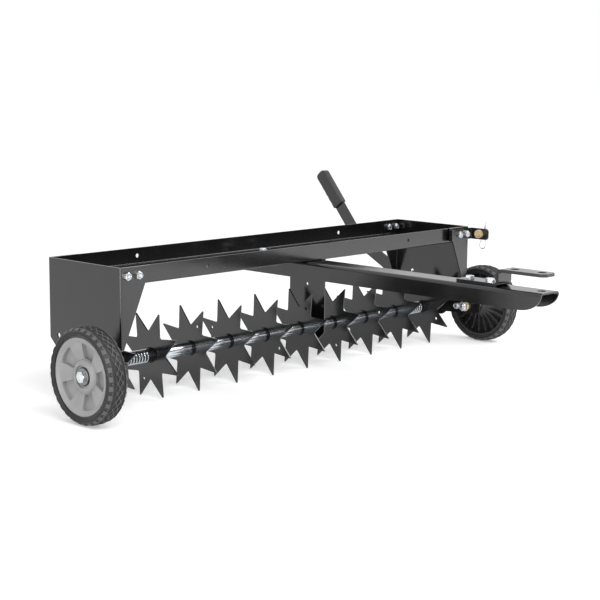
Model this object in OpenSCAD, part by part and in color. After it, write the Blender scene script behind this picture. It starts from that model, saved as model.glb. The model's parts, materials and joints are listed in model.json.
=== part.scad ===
// Tow-behind spike aerator: a weight tray on two end plates, a drawbar with a hitch
// clevis, ten star discs on one cross shaft, and two wheels that a lever swings down.
// X runs to the machine's right, Y to its rear and Z up. The ground is at Z = 0.

/* [Tray and frame] */
// Width over the two end plates
frame_w = 1016; // [900:1:1200]
// Depth over the end plates' bent flanges
frame_depth = 210; // [190:1:240]
// Height of the tray's top edge above the ground
tray_top_z = 272; // [262:1:300]
// Height of the tray's walls
rail_h = 33; // [30:1:45]
// Sheet thickness of the tray
sheet_t = 2; // [1.5:0.1:3]
// Height of an end plate
plate_h = 210; // [205:1:220]
// Sheet thickness of an end plate
plate_t = 3; // [2.5:0.1:4]
// Slope of an end plate's lower corners
plate_slope = 43; // [40:0.5:46]
// Distance of a sloped corner from the arm bolt's nut
plate_nut_gap = 1.4; // [1:0.1:2]
// Rounding of the plate's lower corners
plate_corner_r = 18; // [8:1:24]
// Width of a bent flange at the top
flange_w = 71; // [66:1:80]
// Width of a bent flange at its lower end
flange_tip_w = 7; // [5:1:12]
// Distance of the tray wall's extra holes from the middle
wall_hole_x = 295.7; // [260:0.1:330]
// Diameter of the tray wall's extra holes
wall_hole_d = 8; // [6:0.5:10]
// Distance of a corner bolt's axis below the tray's top edge
corner_bolt_drop = 15.7; // [13:0.1:17]
// Distance of the two corner bolts from the end plate's outer face
corner_bolt_x = [40, 14]; // [12:1:50]
// Diameter of the frame's bolts
bolt_d = 8; // [6:0.5:10]

/* [Centre hanger] */
// Distance of the hanger from the disc on its left
hanger_in = 26.9; // [20:0.1:36]
// Width of the hanger plate
hanger_w = 100; // [80:1:120]
// Thickness of the hanger plate
hanger_t = 3; // [2.5:0.1:4]
// Width of the hanger's bolted flange
hanger_flange_w = 34; // [28:1:40]
// Length of the hanger below the shaft's axis
hanger_foot = 30; // [24:1:36]
// Slanted corner of the hanger's lower end
hanger_chamfer = 24; // [12:1:28]
// Diameter of the small hole in the hanger
hanger_hole_d = 6.5; // [5:0.5:9]
// Distance of the small hole below the tray's top edge
hanger_hole_drop = 97.7; // [90:0.1:110]

/* [Drawbar and hitch] */
// Place of the drawbar's front end, ahead of the tray's middle
drawbar_reach = 666.5; // [560:0.5:760]
// Length of the drawbar behind the tray's middle
drawbar_tail = 75; // [70:1:90]
// Width of the drawbar channel
drawbar_w = 57; // [52:1:64]
// Height of the drawbar channel
drawbar_h = 34; // [30:1:42]
// Thickness of the drawbar channel
drawbar_t = 3; // [2.5:0.1:4]
// Outer radius of the channel's bends
drawbar_bend_r = 7; // [5:0.5:9]
// Length of the round cut on the flanges' front ends
nose_len = 46; // [30:1:60]
// Places of the drawbar's two bolts, from the tray's middle
drawbar_bolt_y = [47, -60]; // [-70:1:60]
// Diameter of the drawbar's bolts
drawbar_bolt_d = 10; // [8:0.5:12]
// Width of the hitch plate
hitch_w = 40; // [34:1:46]
// Thickness of the hitch plate
hitch_t = 6; // [5:0.5:7]
// Length of the hitch plate behind the drawbar's front end
hitch_len = 193.5; // [180:0.5:220]
// Distance of the hitch plate's step behind the front end
hitch_step = 97.5; // [90:0.5:110]
// Clevis gap between the drawbar and the hitch plate
clevis_gap = 27; // [22:0.5:32]
// Diameter of the hitch holes
hitch_hole_d = 16; // [14:0.5:18]
// Distance of the clevis holes behind the front end
hitch_hole_in = 18.5; // [16:0.5:26]
// Distance of the second hole behind the front end
hitch_hole_2 = 76.5; // [60:0.5:80]
// Clipped corner of the hitch plate
hitch_clip = 8; // [4:1:12]
// Places of the hitch plate's two bolts behind the front end
hitch_bolt_in = [130.5, 175.5]; // [125:0.5:180]

/* [Shaft and discs] */
// Diameter of the cross shaft
shaft_d = 20; // [18:0.5:22]
// Place of the shaft ahead of the tray's middle
shaft_ahead = 8.5; // [4:0.5:14]
// Diametral clearance of a running fit
running_fit = 0.12; // [0.04:0.01:0.18]
// Gap between pieces that turn apart
turn_gap = 0.3; // [0.2:0.05:0.5]
// Number of star discs
disc_count = 10; // [10:1:10]
// Distance of the two outermost discs from the end plates' outer faces
disc_row_in = 45.9; // [44:0.1:52]
// Radius over the tines' tips
disc_r = 86; // [80:0.5:87]
// Radius at which two tines' edges meet
disc_root_r = 45.5; // [38:0.5:52]
// Number of tines on a disc
tines = 8; // [8:1:8]
// Thickness of a disc
disc_t = 3; // [2.5:0.1:4]
// Rounding between two tines
root_fillet = 3.5; // [1:0.5:6]
// Rounding of a tine's tip
tip_round = 1; // [0.5:0.25:2]
// Angle by which a tine leans from straight down
disc_lean = 18.5; // [17:0.5:21]
// Diameter of a disc's punched hole
punch_d = 6; // [4:0.5:8]
// Radius of the punched hole's centre
punch_r = 50.2; // [42:0.1:56]
// Diameter of a disc's collar
collar_d = 30; // [29:0.5:34]
// Length of a disc's collar
collar_len = 5; // [4:0.5:8]
// Outer diameter of the spacer tubes
tube_d = 25.4; // [24:0.1:28]
// Bore of the spacer tubes
tube_bore = 20.8; // [20.6:0.1:23]
// Outer diameter of the shaft springs
spring_d = 26.2; // [25.6:0.1:30]
// Wire diameter of the shaft springs
spring_wire = 2.4; // [2:0.1:2.6]
// Curls of a shaft spring
spring_curls = 13; // [9:1:16]

/* [Wheels and lift] */
// Radius of a tyre
tyre_r = 88; // [84:0.5:92]
// Width of a tyre
tyre_w = 42; // [38:1:46]
// Distance of a tyre's inner side from the end plate
wheel_gap = 49; // [44:1:56]
// Place of the wheels' axle ahead of the tray's middle
axle_ahead = 99; // [94:1:104]
// Radius of the rim under the tyre
rim_r = 73.2; // [70:0.1:75]
// Number of ribs on a rim
rim_ribs = 20; // [16:1:24]
// Thickness of a rim's rib
rim_rib_t = 2; // [1.5:0.25:3]
// Depth of a wheel cover's dish at its boss
cover_dish = 11; // [9:0.5:12]
// Depth of a wheel cover's pockets
pocket_deep = 8; // [6:0.5:9]
// Number of pockets in a wheel cover
cover_pockets = 5; // [5:1:6]
// Radius of a wheel hub's bore
hub_bore_r = 10; // [9:0.25:11]
// Diameter of an axle bolt
axle_d = 12.7; // [12:0.1:13.5]
// Thickness of a wheel arm and of the lever
arm_t = 4; // [3:0.25:5]
// Width of a wheel arm and of the lever
arm_w = 30; // [26:1:32]
// Length of an arm past the axle
arm_nose = 41; // [30:1:46]
// Distance of the arm's bolt from the shaft
arm_bolt_in = 69.7; // [69:0.1:71]
// Gap between an end plate and an arm
arm_gap = 0.5; // [0.3:0.1:1]
// Length of the lever's lower part, from the shaft to its bend
lever_low = 267.4; // [240:0.1:300]
// Length of the lever's upper part, grip included
lever_up = 206.5; // [190:0.5:240]
// Angle of the lever's lower part above level
lever_angle = 28.5; // [27:0.5:30]
// Angle of the lever's upper part above level
lever_up_angle = 50.7; // [44:0.1:56]
// Length of the grip
grip_len = 101; // [90:1:110]
// Width of the grip
grip_w = 35; // [33:0.5:38]
// Thickness of the grip
grip_t = 20; // [17:0.5:24]
// Number of finger grooves
grip_grooves = 4; // [4:1:4]
// Distance of the lock holes from the shaft
lock_r = 96.8; // [94:0.1:99]
// Angle that the lever swings between its two lock holes
lift_angle = 20.6; // [18:0.1:22]
// Diameter of the lock holes
lock_hole_d = 9; // [8:0.5:11]

/* [Pin holder] */
// Height of the pin holder
holder_h = 25; // [23:1:26]
// Thickness of the pin holder
holder_t = 3; // [2:0.1:4]
// Distance of the holder's ear past the end plate's outer face
ear_out = 8; // [6:0.5:12]
// Length of the holder's ear
ear_len = 47; // [40:1:54]
// Length of the holder's bent lip
lip_len = 8; // [5:1:12]
// Diameter of the hitch pin
pin_d = 12.7; // [12:0.1:13.5]
// Free length of the hitch pin past the ear
pin_free = 26.5; // [24:0.5:60]
// Diameter of the hitch pin's head
pin_head_d = 19; // [17:0.5:22]
// Length of the hitch pin's head
pin_head_len = 6.5; // [4:0.5:8]
// Wire diameter of the hairpin clip
clip_wire = 2.4; // [2:0.1:3]
// Length of the hairpin clip
clip_len = 62; // [58:1:68]
// Width of the hairpin clip's loop
clip_loop_w = 16; // [13:0.5:18]

/* [Hidden] */
$fn = 48;

black = "#1d1e20";
rubber = "#2a2a2b";
zinc = "#c3c8cd";
gold_zinc = "#c9b97a";
steel = "#8d9196";
pale = "#d3d4d2";

half_w = frame_w / 2;
half_depth = frame_depth / 2;
plate_in_x = half_w - plate_t;
wall_y = half_depth - plate_t;
floor_z = tray_top_z - rail_h;
shaft_y = -shaft_ahead;
shaft_z = (disc_r - tip_round) * cos(disc_lean) + tip_round;
axle_y = -axle_ahead;
axle_z = tyre_r;
front_y = -drawbar_reach;
bolt_z = tray_top_z - corner_bolt_drop;

arm_x = half_w + arm_gap;
lever_x = arm_x + arm_t;
arm_reach = norm([axle_y - shaft_y, axle_z - shaft_z]);
arm_angle = atan2(axle_z - shaft_z, axle_y - shaft_y);
disc_pitch = (frame_w - 2 * disc_row_in) / (disc_count - 1);
hanger_x = disc_pitch / 2 + hanger_in;
wheel_x = half_w + wheel_gap;
wheel_out_x = wheel_x + tyre_w;

// The origin lies under the middle of the outline: from the drawbar's front end to the
// back of the grip's round end.
grip_end_r = grip_w / 2;
rear_y = shaft_y + lever_low * cos(lever_angle) + (lever_up - grip_end_r) * cos(lever_up_angle) + grip_end_r;
shift_y = -(front_y + rear_y) / 2;

bolt_fit = 0.5;
nut_fit = 0.1;
hex_ratio = 1 / cos(30);
// Distance over a bolt head's or nut's corners, halved, from the bolt's diameter
function hex_r(d) = d * 1.65 * hex_ratio / 2;

// Rounding of outlines

function unit(v) = v / norm(v);
function cross_z(a, b) = a[0] * b[1] - a[1] * b[0];
function pick(radii, i) = is_list(radii) ? radii[i] : radii;

// Points of the arc that rounds corner b between its neighbours a and c
function corner_arc(a, b, c, r, steps) =
  r <= 0 ? [b] :
  let (
    u = unit(a - b),
    v = unit(c - b),
    half = acos(u * v) / 2,
    centre = b + unit(u + v) * r / sin(half),
    from = b + u * r / tan(half) - centre,
    to = b + v * r / tan(half) - centre,
    sweep = 180 - 2 * half
  )
  [for (i = [0:steps]) centre + (from * sin(sweep * (1 - i / steps)) + to * sin(sweep * i / steps)) / sin(sweep)];

function rounded(points, radii, steps = 6) =
  let (n = len(points))
  [for (i = [0:n - 1]) each corner_arc(points[(i + n - 1) % n], points[i], points[(i + 1) % n], pick(radii, i), steps)];

// Left-hand normal of the stretch from a to b
function left_of(a, b) = let (d = unit(b - a)) [-d[1], d[0]];

// A path moved sideways by t, with its corners kept sharp
function moved(path, t) =
  let (last = len(path) - 1)
  [for (i = [0:last])
    i == 0 ? path[0] + left_of(path[0], path[1]) * t :
    i == last ? path[last] + left_of(path[last - 1], path[last]) * t :
    let (m = left_of(path[i - 1], path[i]), n = left_of(path[i], path[i + 1]))
    path[i] + (m + n) * t / (1 + m * n)];

// Radius of a strip's bend at corner i: on the inside r, on the outside r and the thickness
function bend_r(path, i, inner_if_left, r, t) =
  i == 0 || i == len(path) - 1 ? 0 :
  (cross_z(path[i] - path[i - 1], path[i + 1] - path[i]) > 0) == inner_if_left ? r : r + t;

// Outline of a strip of sheet metal bent along a path, with its thickness on the left
function strip(path, t, r, steps = 5) =
  let (
    other = moved(path, t),
    last = len(path) - 1,
    near = [for (i = [0:last]) bend_r(path, i, false, r, t)],
    far = [for (i = [0:last]) bend_r(path, i, true, r, t)]
  )
  rounded(concat(path, [for (i = [last:-1:0]) other[i]]), concat(near, [for (i = [last:-1:0]) far[i]]), steps);

function turned(p, a) = [p[0] * cos(a) - p[1] * sin(a), p[0] * sin(a) + p[1] * cos(a)];

// Placing and drawing helpers

module placed() {
  translate([0, shift_y, 0]) children();
}

// An outline in (Y, Z), drawn from x1 to x2
module along_x(x1, x2) {
  translate([x1, 0, 0]) rotate([90, 0, 90]) linear_extrude(x2 - x1) children();
}

// An outline in (X, Z), drawn from y1 to y2
module along_y(y1, y2) {
  translate([0, y2, 0]) rotate([90, 0, 0]) linear_extrude(y2 - y1) children();
}

// A round bar along X from x1 to x2
module rod_x(d, x1, x2) {
  translate([x1, 0, 0]) rotate([0, 90, 0]) cylinder(d = d, h = x2 - x1);
}

// A tube along X from x1 to x2
module tube_x(d, bore, x1, x2) {
  difference() {
    rod_x(d, x1, x2);
    rod_x(bore, x1 - 1, x2 + 1);
  }
}

// A bolt along +Z: its head's face is at 0 and the shank rises from it
module hex_bolt(d, len) {
  head_h = d * 0.65;
  translate([0, 0, -head_h]) cylinder(r = hex_r(d), h = head_h, $fn = 6);
  cylinder(d = d, h = len, $fn = 24);
}

// A lock nut along +Z with its flat face at 0 and a round collar on top
module lock_nut(d) {
  hex_h = d * 0.72;
  difference() {
    union() {
      cylinder(r = hex_r(d), h = hex_h, $fn = 6);
      cylinder(d = d * 1.5, h = hex_h + d * 0.25, $fn = 24);
    }
    translate([0, 0, -1]) cylinder(d = d + nut_fit, h = d * 2, $fn = 24);
  }
}

module washer(d, outer, t) {
  difference() {
    cylinder(d = outer, h = t, $fn = 32);
    translate([0, 0, -1]) cylinder(d = d + nut_fit, h = t + 2, $fn = 32);
  }
}

// A bolt with its nut through a grip length, along +Z
module bolt_and_nut(d, grip, past) {
  hex_bolt(d, grip + past);
  translate([0, 0, grip]) lock_nut(d);
}

module shaft_line() {
  translate([0, shaft_y, shaft_z]) children();
}

module axle_line() {
  translate([0, axle_y, axle_z]) children();
}

// Tray

plate_bend_r = 1;
tray_end_gap = plate_bend_r + 0.1;
tray_bend_r = 1.5;

module tray_profile() {
  polygon(strip([[-wall_y, tray_top_z], [-wall_y, floor_z], [wall_y, floor_z], [wall_y, tray_top_z]],
    sheet_t, tray_bend_r));
}

module corner_bolt_holes(d) {
  for (side = [-1, 1])
    for (in = corner_bolt_x)
      translate([side * (half_w - in), 0, bolt_z])
        rotate([90, 0, 0]) cylinder(d = d, h = frame_depth * 2, center = true);
}

module tray_pan() {
  color(black) placed() difference() {
    along_x(-plate_in_x + tray_end_gap, plate_in_x - tray_end_gap) tray_profile();
    corner_bolt_holes(bolt_d + bolt_fit);
    for (side = [-1, 1])
      translate([side * wall_hole_x, 0, bolt_z])
        rotate([90, 0, 0]) cylinder(d = wall_hole_d, h = frame_depth * 2, center = true);
    for (y = drawbar_bolt_y)
      translate([0, y, floor_z - 1]) cylinder(d = drawbar_bolt_d + bolt_fit, h = sheet_t + 2);
    for (y = hanger_bolt_y)
      translate([hanger_bolt_px, y, floor_z - 1]) cylinder(d = bolt_d + bolt_fit, h = sheet_t + 2);
  }
}

// End plates

foot_z = tray_top_z - plate_h;

// The sloped lower corners keep a distance from the nut of the arm's bolt
slope_offset = sin(plate_slope) * (shaft_y + arm_bolt_in * cos(arm_angle))
  + cos(plate_slope) * (shaft_z + arm_bolt_in * sin(arm_angle)) + hex_r(bolt_d) + plate_nut_gap;
foot_y = (slope_offset - cos(plate_slope) * foot_z) / sin(plate_slope);
edge_z = (slope_offset + sin(plate_slope) * half_depth) / cos(plate_slope);

// The right plate seen from the side: straight edges, sloped lower corners, round feet
module plate_side() {
  polygon(rounded([[-half_depth, tray_top_z], [-half_depth, edge_z], [foot_y, foot_z],
    [-foot_y, foot_z], [half_depth, edge_z], [half_depth, tray_top_z]],
    [0, 0, plate_corner_r, plate_corner_r, 0, 0]));
}

// The right plate seen from the front: the flange narrows towards its lower end
module plate_front() {
  low_z = foot_z - 1;
  polygon([[half_w, tray_top_z], [half_w - flange_w, tray_top_z], [half_w - flange_tip_w, edge_z],
    [half_w - flange_tip_w, low_z], [half_w, low_z]]);
}

// The right plate seen from above: a flat plate with both edges bent inwards
module plate_plan() {
  x = half_w - flange_w;
  polygon(strip([[x, -half_depth], [half_w, -half_depth], [half_w, half_depth], [x, half_depth]],
    plate_t, plate_bend_r));
}

module lock_hole(angle) {
  shaft_line() rotate([angle, 0, 0]) translate([0, lock_r, 0])
    rotate([0, 90, 0]) cylinder(d = lock_hole_d, h = frame_w * 2, center = true);
}

module end_plate(lock_angles) {
  difference() {
    intersection() {
      translate([0, 0, foot_z]) linear_extrude(plate_h) plate_plan();
      along_x(0, half_w) plate_side();
      along_y(-half_depth, half_depth) plate_front();
    }
    shaft_line() rod_x(shaft_d + running_fit, half_w - plate_t - 1, half_w + 1);
    corner_bolt_holes(bolt_d + bolt_fit);
    for (angle = lock_angles)
      lock_hole(angle);
  }
}

module left_end_plate() {
  color(black) placed() mirror([1, 0, 0]) end_plate([lever_angle]);
}

module right_end_plate() {
  color(black) placed() end_plate([lever_angle, lever_angle + lift_angle]);
}

// Centre hanger

hanger_bend_r = 2;
hanger_x1 = hanger_x - hanger_t / 2;
hanger_x2 = hanger_x + hanger_t / 2;
hanger_bolt_px = hanger_x + hanger_flange_w * 0.58;
hanger_bolt_y = [shaft_y - hanger_w * 0.3, shaft_y + hanger_w * 0.3];

module center_hanger() {
  low_z = shaft_z - hanger_foot;
  y1 = shaft_y - hanger_w / 2;
  y2 = shaft_y + hanger_w / 2;
  c = hanger_chamfer;
  color(black) placed() difference() {
    intersection() {
      along_y(y1, y2) polygon(strip([[hanger_x1 + hanger_flange_w, floor_z], [hanger_x1, floor_z],
        [hanger_x1, low_z]], hanger_t, hanger_bend_r));
      along_x(0, half_w) polygon(rounded([[y1, floor_z], [y1, low_z + c], [y1 + c, low_z],
        [y2 - c, low_z], [y2, low_z + c], [y2, floor_z]], [0, 6, 6, 6, 6, 0], 4));
    }
    shaft_line() rod_x(shaft_d + running_fit, hanger_x1 - 1, hanger_x2 + 1);
    translate([0, shaft_y, tray_top_z - hanger_hole_drop]) rod_x(hanger_hole_d, hanger_x1 - 1, hanger_x2 + 1);
    for (y = hanger_bolt_y)
      translate([hanger_bolt_px, y, floor_z - hanger_t - 1])
        cylinder(d = bolt_d + bolt_fit, h = hanger_t + 2);
  }
}

module hanger_bolts() {
  color(zinc) placed() for (y = hanger_bolt_y)
    translate([hanger_bolt_px, y, floor_z - hanger_t]) bolt_and_nut(bolt_d, hanger_t + sheet_t, bolt_d);
}

// Drawbar

module drawbar_profile() {
  x = drawbar_w / 2;
  polygon(strip([[x, floor_z - drawbar_h], [x, floor_z], [-x, floor_z], [-x, floor_z - drawbar_h]],
    drawbar_t, drawbar_bend_r - drawbar_t));
}

// Side outline, with a quarter-round cut on the lower front corner
module drawbar_side() {
  nose_steps = 12;
  drop = drawbar_h - drawbar_t;
  low_z = floor_z - drawbar_h;
  polygon(concat([[drawbar_tail, low_z], [drawbar_tail, floor_z], [front_y, floor_z]],
    [for (i = [0:nose_steps]) let (a = 90 * i / nose_steps)
      [front_y + nose_len * (1 - cos(a)), floor_z - drawbar_t - drop * sin(a)]]));
}

module drawbar() {
  color(black) placed() difference() {
    intersection() {
      along_y(front_y, drawbar_tail) drawbar_profile();
      along_x(-drawbar_w, drawbar_w) drawbar_side();
    }
    translate([0, front_y + hitch_hole_in, floor_z - drawbar_t - 1])
      cylinder(d = hitch_hole_d, h = drawbar_t + 2);
    for (y = concat(drawbar_bolt_y, [for (in = hitch_bolt_in) front_y + in]))
      translate([0, y, floor_z - drawbar_t - 1])
        cylinder(d = drawbar_bolt_d + bolt_fit, h = drawbar_t + 2);
  }
}

module drawbar_bolts() {
  color(zinc) placed() for (y = drawbar_bolt_y)
    translate([0, y, floor_z - drawbar_t]) bolt_and_nut(drawbar_bolt_d, drawbar_t + sheet_t, drawbar_bolt_d * 0.9);
}

// Hitch plate

hitch_bend_r = 4;
hitch_top_z = floor_z + clevis_gap + hitch_t;

module hitch_plate() {
  back = front_y + hitch_len;
  step = front_y + hitch_step;
  rise = clevis_gap;
  c = hitch_clip;
  w = hitch_w / 2;
  color(black) placed() difference() {
    intersection() {
      along_x(-w, w) polygon(strip([[front_y, floor_z + rise], [step, floor_z + rise],
        [step, floor_z], [back, floor_z]], hitch_t, hitch_bend_r));
      translate([0, 0, floor_z - 1]) linear_extrude(clevis_gap + hitch_t + 2)
        polygon(rounded([[-w + c, front_y], [w - c, front_y], [w, front_y + c], [w, back],
          [-w, back], [-w, front_y + c]], [2, 2, 2, 3, 3, 2], 3));
    }
    for (in = [hitch_hole_in, hitch_hole_2])
      translate([0, front_y + in, hitch_top_z - hitch_t - 1]) cylinder(d = hitch_hole_d, h = hitch_t + 2);
    for (in = hitch_bolt_in)
      translate([0, front_y + in, floor_z - 1]) cylinder(d = drawbar_bolt_d + bolt_fit, h = hitch_t + 2);
  }
}

module hitch_plate_bolts() {
  color(zinc) placed() for (in = hitch_bolt_in)
    translate([0, front_y + in, floor_z + hitch_t]) mirror([0, 0, 1])
      bolt_and_nut(drawbar_bolt_d, hitch_t + drawbar_t, 3);
}

// Corner bolts: the front nuts stand outside and the rear nuts stand inside the tray

module tray_corner_bolts() {
  stack = plate_t + sheet_t;
  color(zinc) placed() for (side = [-1, 1])
    for (in = corner_bolt_x) {
      extra = side > 0 ? holder_t : 0;
      translate([side * (half_w - in), -wall_y + sheet_t, bolt_z])
        rotate([90, 0, 0]) bolt_and_nut(bolt_d, stack + extra, bolt_d);
      translate([side * (half_w - in), half_depth, bolt_z])
        rotate([90, 0, 0]) bolt_and_nut(bolt_d, stack, bolt_d);
    }
}

// Pin holder, hitch pin and clip

ear_x = half_w + ear_out;
holder_end_x = half_w - corner_bolt_x[0] - 35;
pin_y = -half_depth - holder_t - ear_len / 2;
pin_end_x = ear_x + pin_free;
clip_x = pin_end_x - 6;

module pin_holder() {
  y = -half_depth;
  z1 = bolt_z - holder_h / 2;
  far_y = y - holder_t - ear_len;
  color(black) placed() difference() {
    intersection() {
      translate([0, 0, z1]) linear_extrude(holder_h)
        polygon(strip([[ear_x, far_y], [ear_x, y], [holder_end_x, y],
          [holder_end_x, y - holder_t - lip_len]], holder_t, 1));
      along_x(holder_end_x - 1, ear_x + 1) polygon(rounded([[far_y, z1], [y + 1, z1],
        [y + 1, z1 + holder_h], [far_y, z1 + holder_h]], [7, 0, 0, 7]));
    }
    corner_bolt_holes(bolt_d + bolt_fit);
    translate([0, pin_y, bolt_z]) rod_x(pin_d + nut_fit, ear_x - holder_t - 1, ear_x + 1);
  }
}

module hitch_pin() {
  head_x = ear_x - holder_t;
  color(gold_zinc) placed() translate([0, pin_y, bolt_z]) difference() {
    union() {
      rod_x(pin_head_d, head_x - pin_head_len, head_x);
      rod_x(pin_d, head_x, pin_end_x - 1.5);
      translate([pin_end_x - 1.5, 0, 0]) rotate([0, 90, 0]) cylinder(d1 = pin_d, d2 = pin_d - 3, h = 1.5);
    }
    translate([clip_x, 0, 0]) cylinder(d = clip_wire + 0.8, h = pin_d * 2, center = true);
  }
}

// Middle line of the clip, in (Y, Z) about the pin: a straight leg through the pin's cross
// hole, a round loop below, and a leg that bows round the pin and flares at its end
clip_low = -pin_d / 2 - clip_loop_w * 1.35;
clip_top = clip_low + clip_len - clip_loop_w / 2;
bow_r = pin_d / 2 + clip_wire / 2 + 0.4;
function clip_loop(i, n) =
  let (a = 180 * i / n, r = clip_loop_w / 2)
  [r - r * cos(a), clip_low - r * sin(a)];
function clip_bow(i, n) =
  let (a = -50 + 100 * i / n)
  [bow_r * cos(a), bow_r * sin(a)];
clip_path = concat(
  [[0, clip_top], [0, clip_top / 2], [0, 0], [0, clip_low / 2]],
  [for (i = [0:12]) clip_loop(i, 12)],
  [[clip_loop_w * 0.86, clip_low * 0.72]],
  [for (i = [0:8]) clip_bow(i, 8)],
  [[bow_r * 0.5, bow_r * 1.25], [bow_r * 0.42, bow_r * 1.8], [bow_r * 0.8, bow_r * 2.3]]
);

// A wire along a flat path in (Y, Z): rings of corners joined by triangles
module flat_wire(path, d, sides) {
  n = len(path);
  dirs = [for (i = [0:n - 1]) unit(path[min(i + 1, n - 1)] - path[max(i - 1, 0)])];
  points = [for (i = [0:n - 1]) for (k = [0:sides - 1])
    let (a = 360 * k / sides, side = [-dirs[i][1], dirs[i][0]] * d / 2)
    [sin(a) * d / 2, path[i][0] + side[0] * cos(a), path[i][1] + side[1] * cos(a)]];
  polyhedron(points, wire_faces(n, sides));
}

function wire_faces(n, sides) = concat(
  [for (i = [0:n - 2]) for (k = [0:sides - 1]) each
    let (a = i * sides + k, b = i * sides + (k + 1) % sides)
    [[a, b, b + sides], [a, b + sides, a + sides]]],
  [for (k = [1:sides - 2]) [0, k + 1, k]],
  [for (k = [1:sides - 2]) [0, k, k + 1] + [1, 1, 1] * (n - 1) * sides]
);

module hairpin_clip() {
  color(zinc) placed() translate([clip_x, pin_y, bolt_z]) flat_wire(clip_path, clip_wire, 8);
}

// Cross shaft with its squared ends

square_w = shaft_d * 0.7;
thread_d = square_w - 2;
shaft_nut_h = thread_d * 0.8;
stack_left = arm_t;
stack_right = 2 * arm_t;

module shaft_end(stack) {
  translate([arm_x - 0.1, -square_w / 2, -square_w / 2]) cube([stack, square_w, square_w]);
  rod_x(thread_d, arm_x, arm_x + stack + shaft_nut_h + 5);
}

module disc_shaft() {
  color(steel) placed() shaft_line() {
    rod_x(shaft_d, -arm_x, arm_x);
    shaft_end(stack_right);
    mirror([1, 0, 0]) shaft_end(stack_left);
  }
}

module shaft_end_nuts() {
  nut_x = arm_x + stack_right;
  color(zinc) placed() shaft_line() {
    translate([nut_x, 0, 0]) rotate([0, 90, 0]) shaft_nut();
    mirror([1, 0, 0]) translate([arm_x + stack_left, 0, 0]) rotate([0, 90, 0]) shaft_nut();
  }
}

module shaft_nut() {
  difference() {
    cylinder(d = thread_d * 1.5 * hex_ratio, h = shaft_nut_h, $fn = 6);
    translate([0, 0, -1]) cylinder(d = thread_d + nut_fit, h = shaft_nut_h + 2);
  }
}

// Wheel arms and lever

// A flat bar's outline from behind the shaft to past the axle, in (along, across)
module arm_outline() {
  w = arm_w / 2;
  polygon(rounded([[-w, -w], [arm_reach + arm_nose, -w], [arm_reach + arm_nose, w], [-w, w]],
    [w - 0.01, 2, 2, w - 0.01], 8));
}

module arm_frame() {
  shaft_line() rotate([arm_angle, 0, 0]) children();
}

module square_hole(x1, x2) {
  hole_w = square_w + 0.2;
  translate([x1, -hole_w / 2, -hole_w / 2]) cube([x2 - x1, hole_w, hole_w]);
}

module wheel_arm() {
  arm_frame() difference() {
    along_x(arm_x, arm_x + arm_t) arm_outline();
    rotate([-arm_angle, 0, 0]) square_hole(arm_x - 1, arm_x + arm_t + 1);
    translate([0, arm_reach, 0]) rod_x(axle_d + nut_fit, arm_x - 1, arm_x + arm_t + 1);
    translate([0, arm_bolt_in, 0]) rod_x(bolt_d + nut_fit, arm_x - 1, arm_x + arm_t + 1);
  }
}

module left_wheel_arm() {
  color(black) placed() mirror([1, 0, 0]) wheel_arm();
}

module right_wheel_arm() {
  color(black) placed() wheel_arm();
}

tang_w = 17;
sleeve_d = 20;
lever_tail = arm_reach - sleeve_d / 2 - 1;

// Middle line of the lever, in (Y, Z) about the shaft
lever_foot = turned([lever_tail, 0], arm_angle);
lever_knee = turned([lever_low, 0], lever_angle);
lever_dir = turned([1, 0], lever_up_angle);
lever_neck = lever_knee + lever_dir * (lever_up - grip_len);

// Outline of a flat bar along a path, with bends of radius r and a tail of radius tail_r
function bar(path, w, r, tail_r) =
  let (
    one = moved(path, w / 2),
    two = moved(path, -w / 2),
    last = len(path) - 1,
    radii = [for (i = [0:last]) i == 0 ? tail_r : i == last ? 0 : r]
  )
  rounded(concat(two, [for (i = [last:-1:0]) one[i]]), concat(radii, [for (i = [last:-1:0]) radii[i]]), 6);

module lever_outline() {
  polygon(bar([lever_foot, [0, 0], lever_knee, lever_neck], arm_w, 20, arm_w / 2 - 0.02));
  polygon(bar([lever_neck - lever_dir * 5, lever_neck + lever_dir * (grip_len - 14)], tang_w, 0, 0));
}

module transport_lever() {
  x2 = lever_x + arm_t;
  color(black) placed() shaft_line() difference() {
    along_x(lever_x, x2) lever_outline();
    square_hole(lever_x - 1, x2 + 1);
    rotate([arm_angle, 0, 0]) translate([0, arm_bolt_in, 0]) rod_x(bolt_d + nut_fit, lever_x - 1, x2 + 1);
    rotate([lever_angle, 0, 0]) translate([0, lock_r, 0]) rod_x(bolt_d + nut_fit, lever_x - 1, x2 + 1);
  }
}

// Side outline of the grip, in (along, across), with finger grooves on its lower edge
groove_len = (grip_len - grip_end_r - 12) / grip_grooves;
groove_deep = 3;

module grip_side() {
  steps = 6;
  w = grip_w / 2;
  straight = grip_len - grip_end_r;
  lower = [for (k = [0:grip_grooves - 1]) for (i = [0:steps - 1])
    [8 + groove_len * (k + i / steps), -w + groove_deep * sin(180 * i / steps)]];
  round_end = [for (i = [0:12]) let (a = -90 + 15 * i) [straight + w * cos(a), w * sin(a)]];
  polygon(concat([[0, w - 2], [0, -w + 3], [4, -w]], lower, round_end, [[4, w]]));
}

// Cross-section of the grip: two flat sides with strongly rounded edges
module grip_section() {
  t = grip_t / 2;
  w = grip_w / 2;
  polygon(rounded([[-t, -w], [t, -w], [t, w], [-t, w]], t * 0.75, 6));
}

module grip_plan() {
  t = grip_t / 2;
  polygon(rounded([[0, -t], [grip_len, -t], [grip_len, t], [0, t]], [2, t * 0.8, t * 0.8, 2], 6));
}

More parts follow.
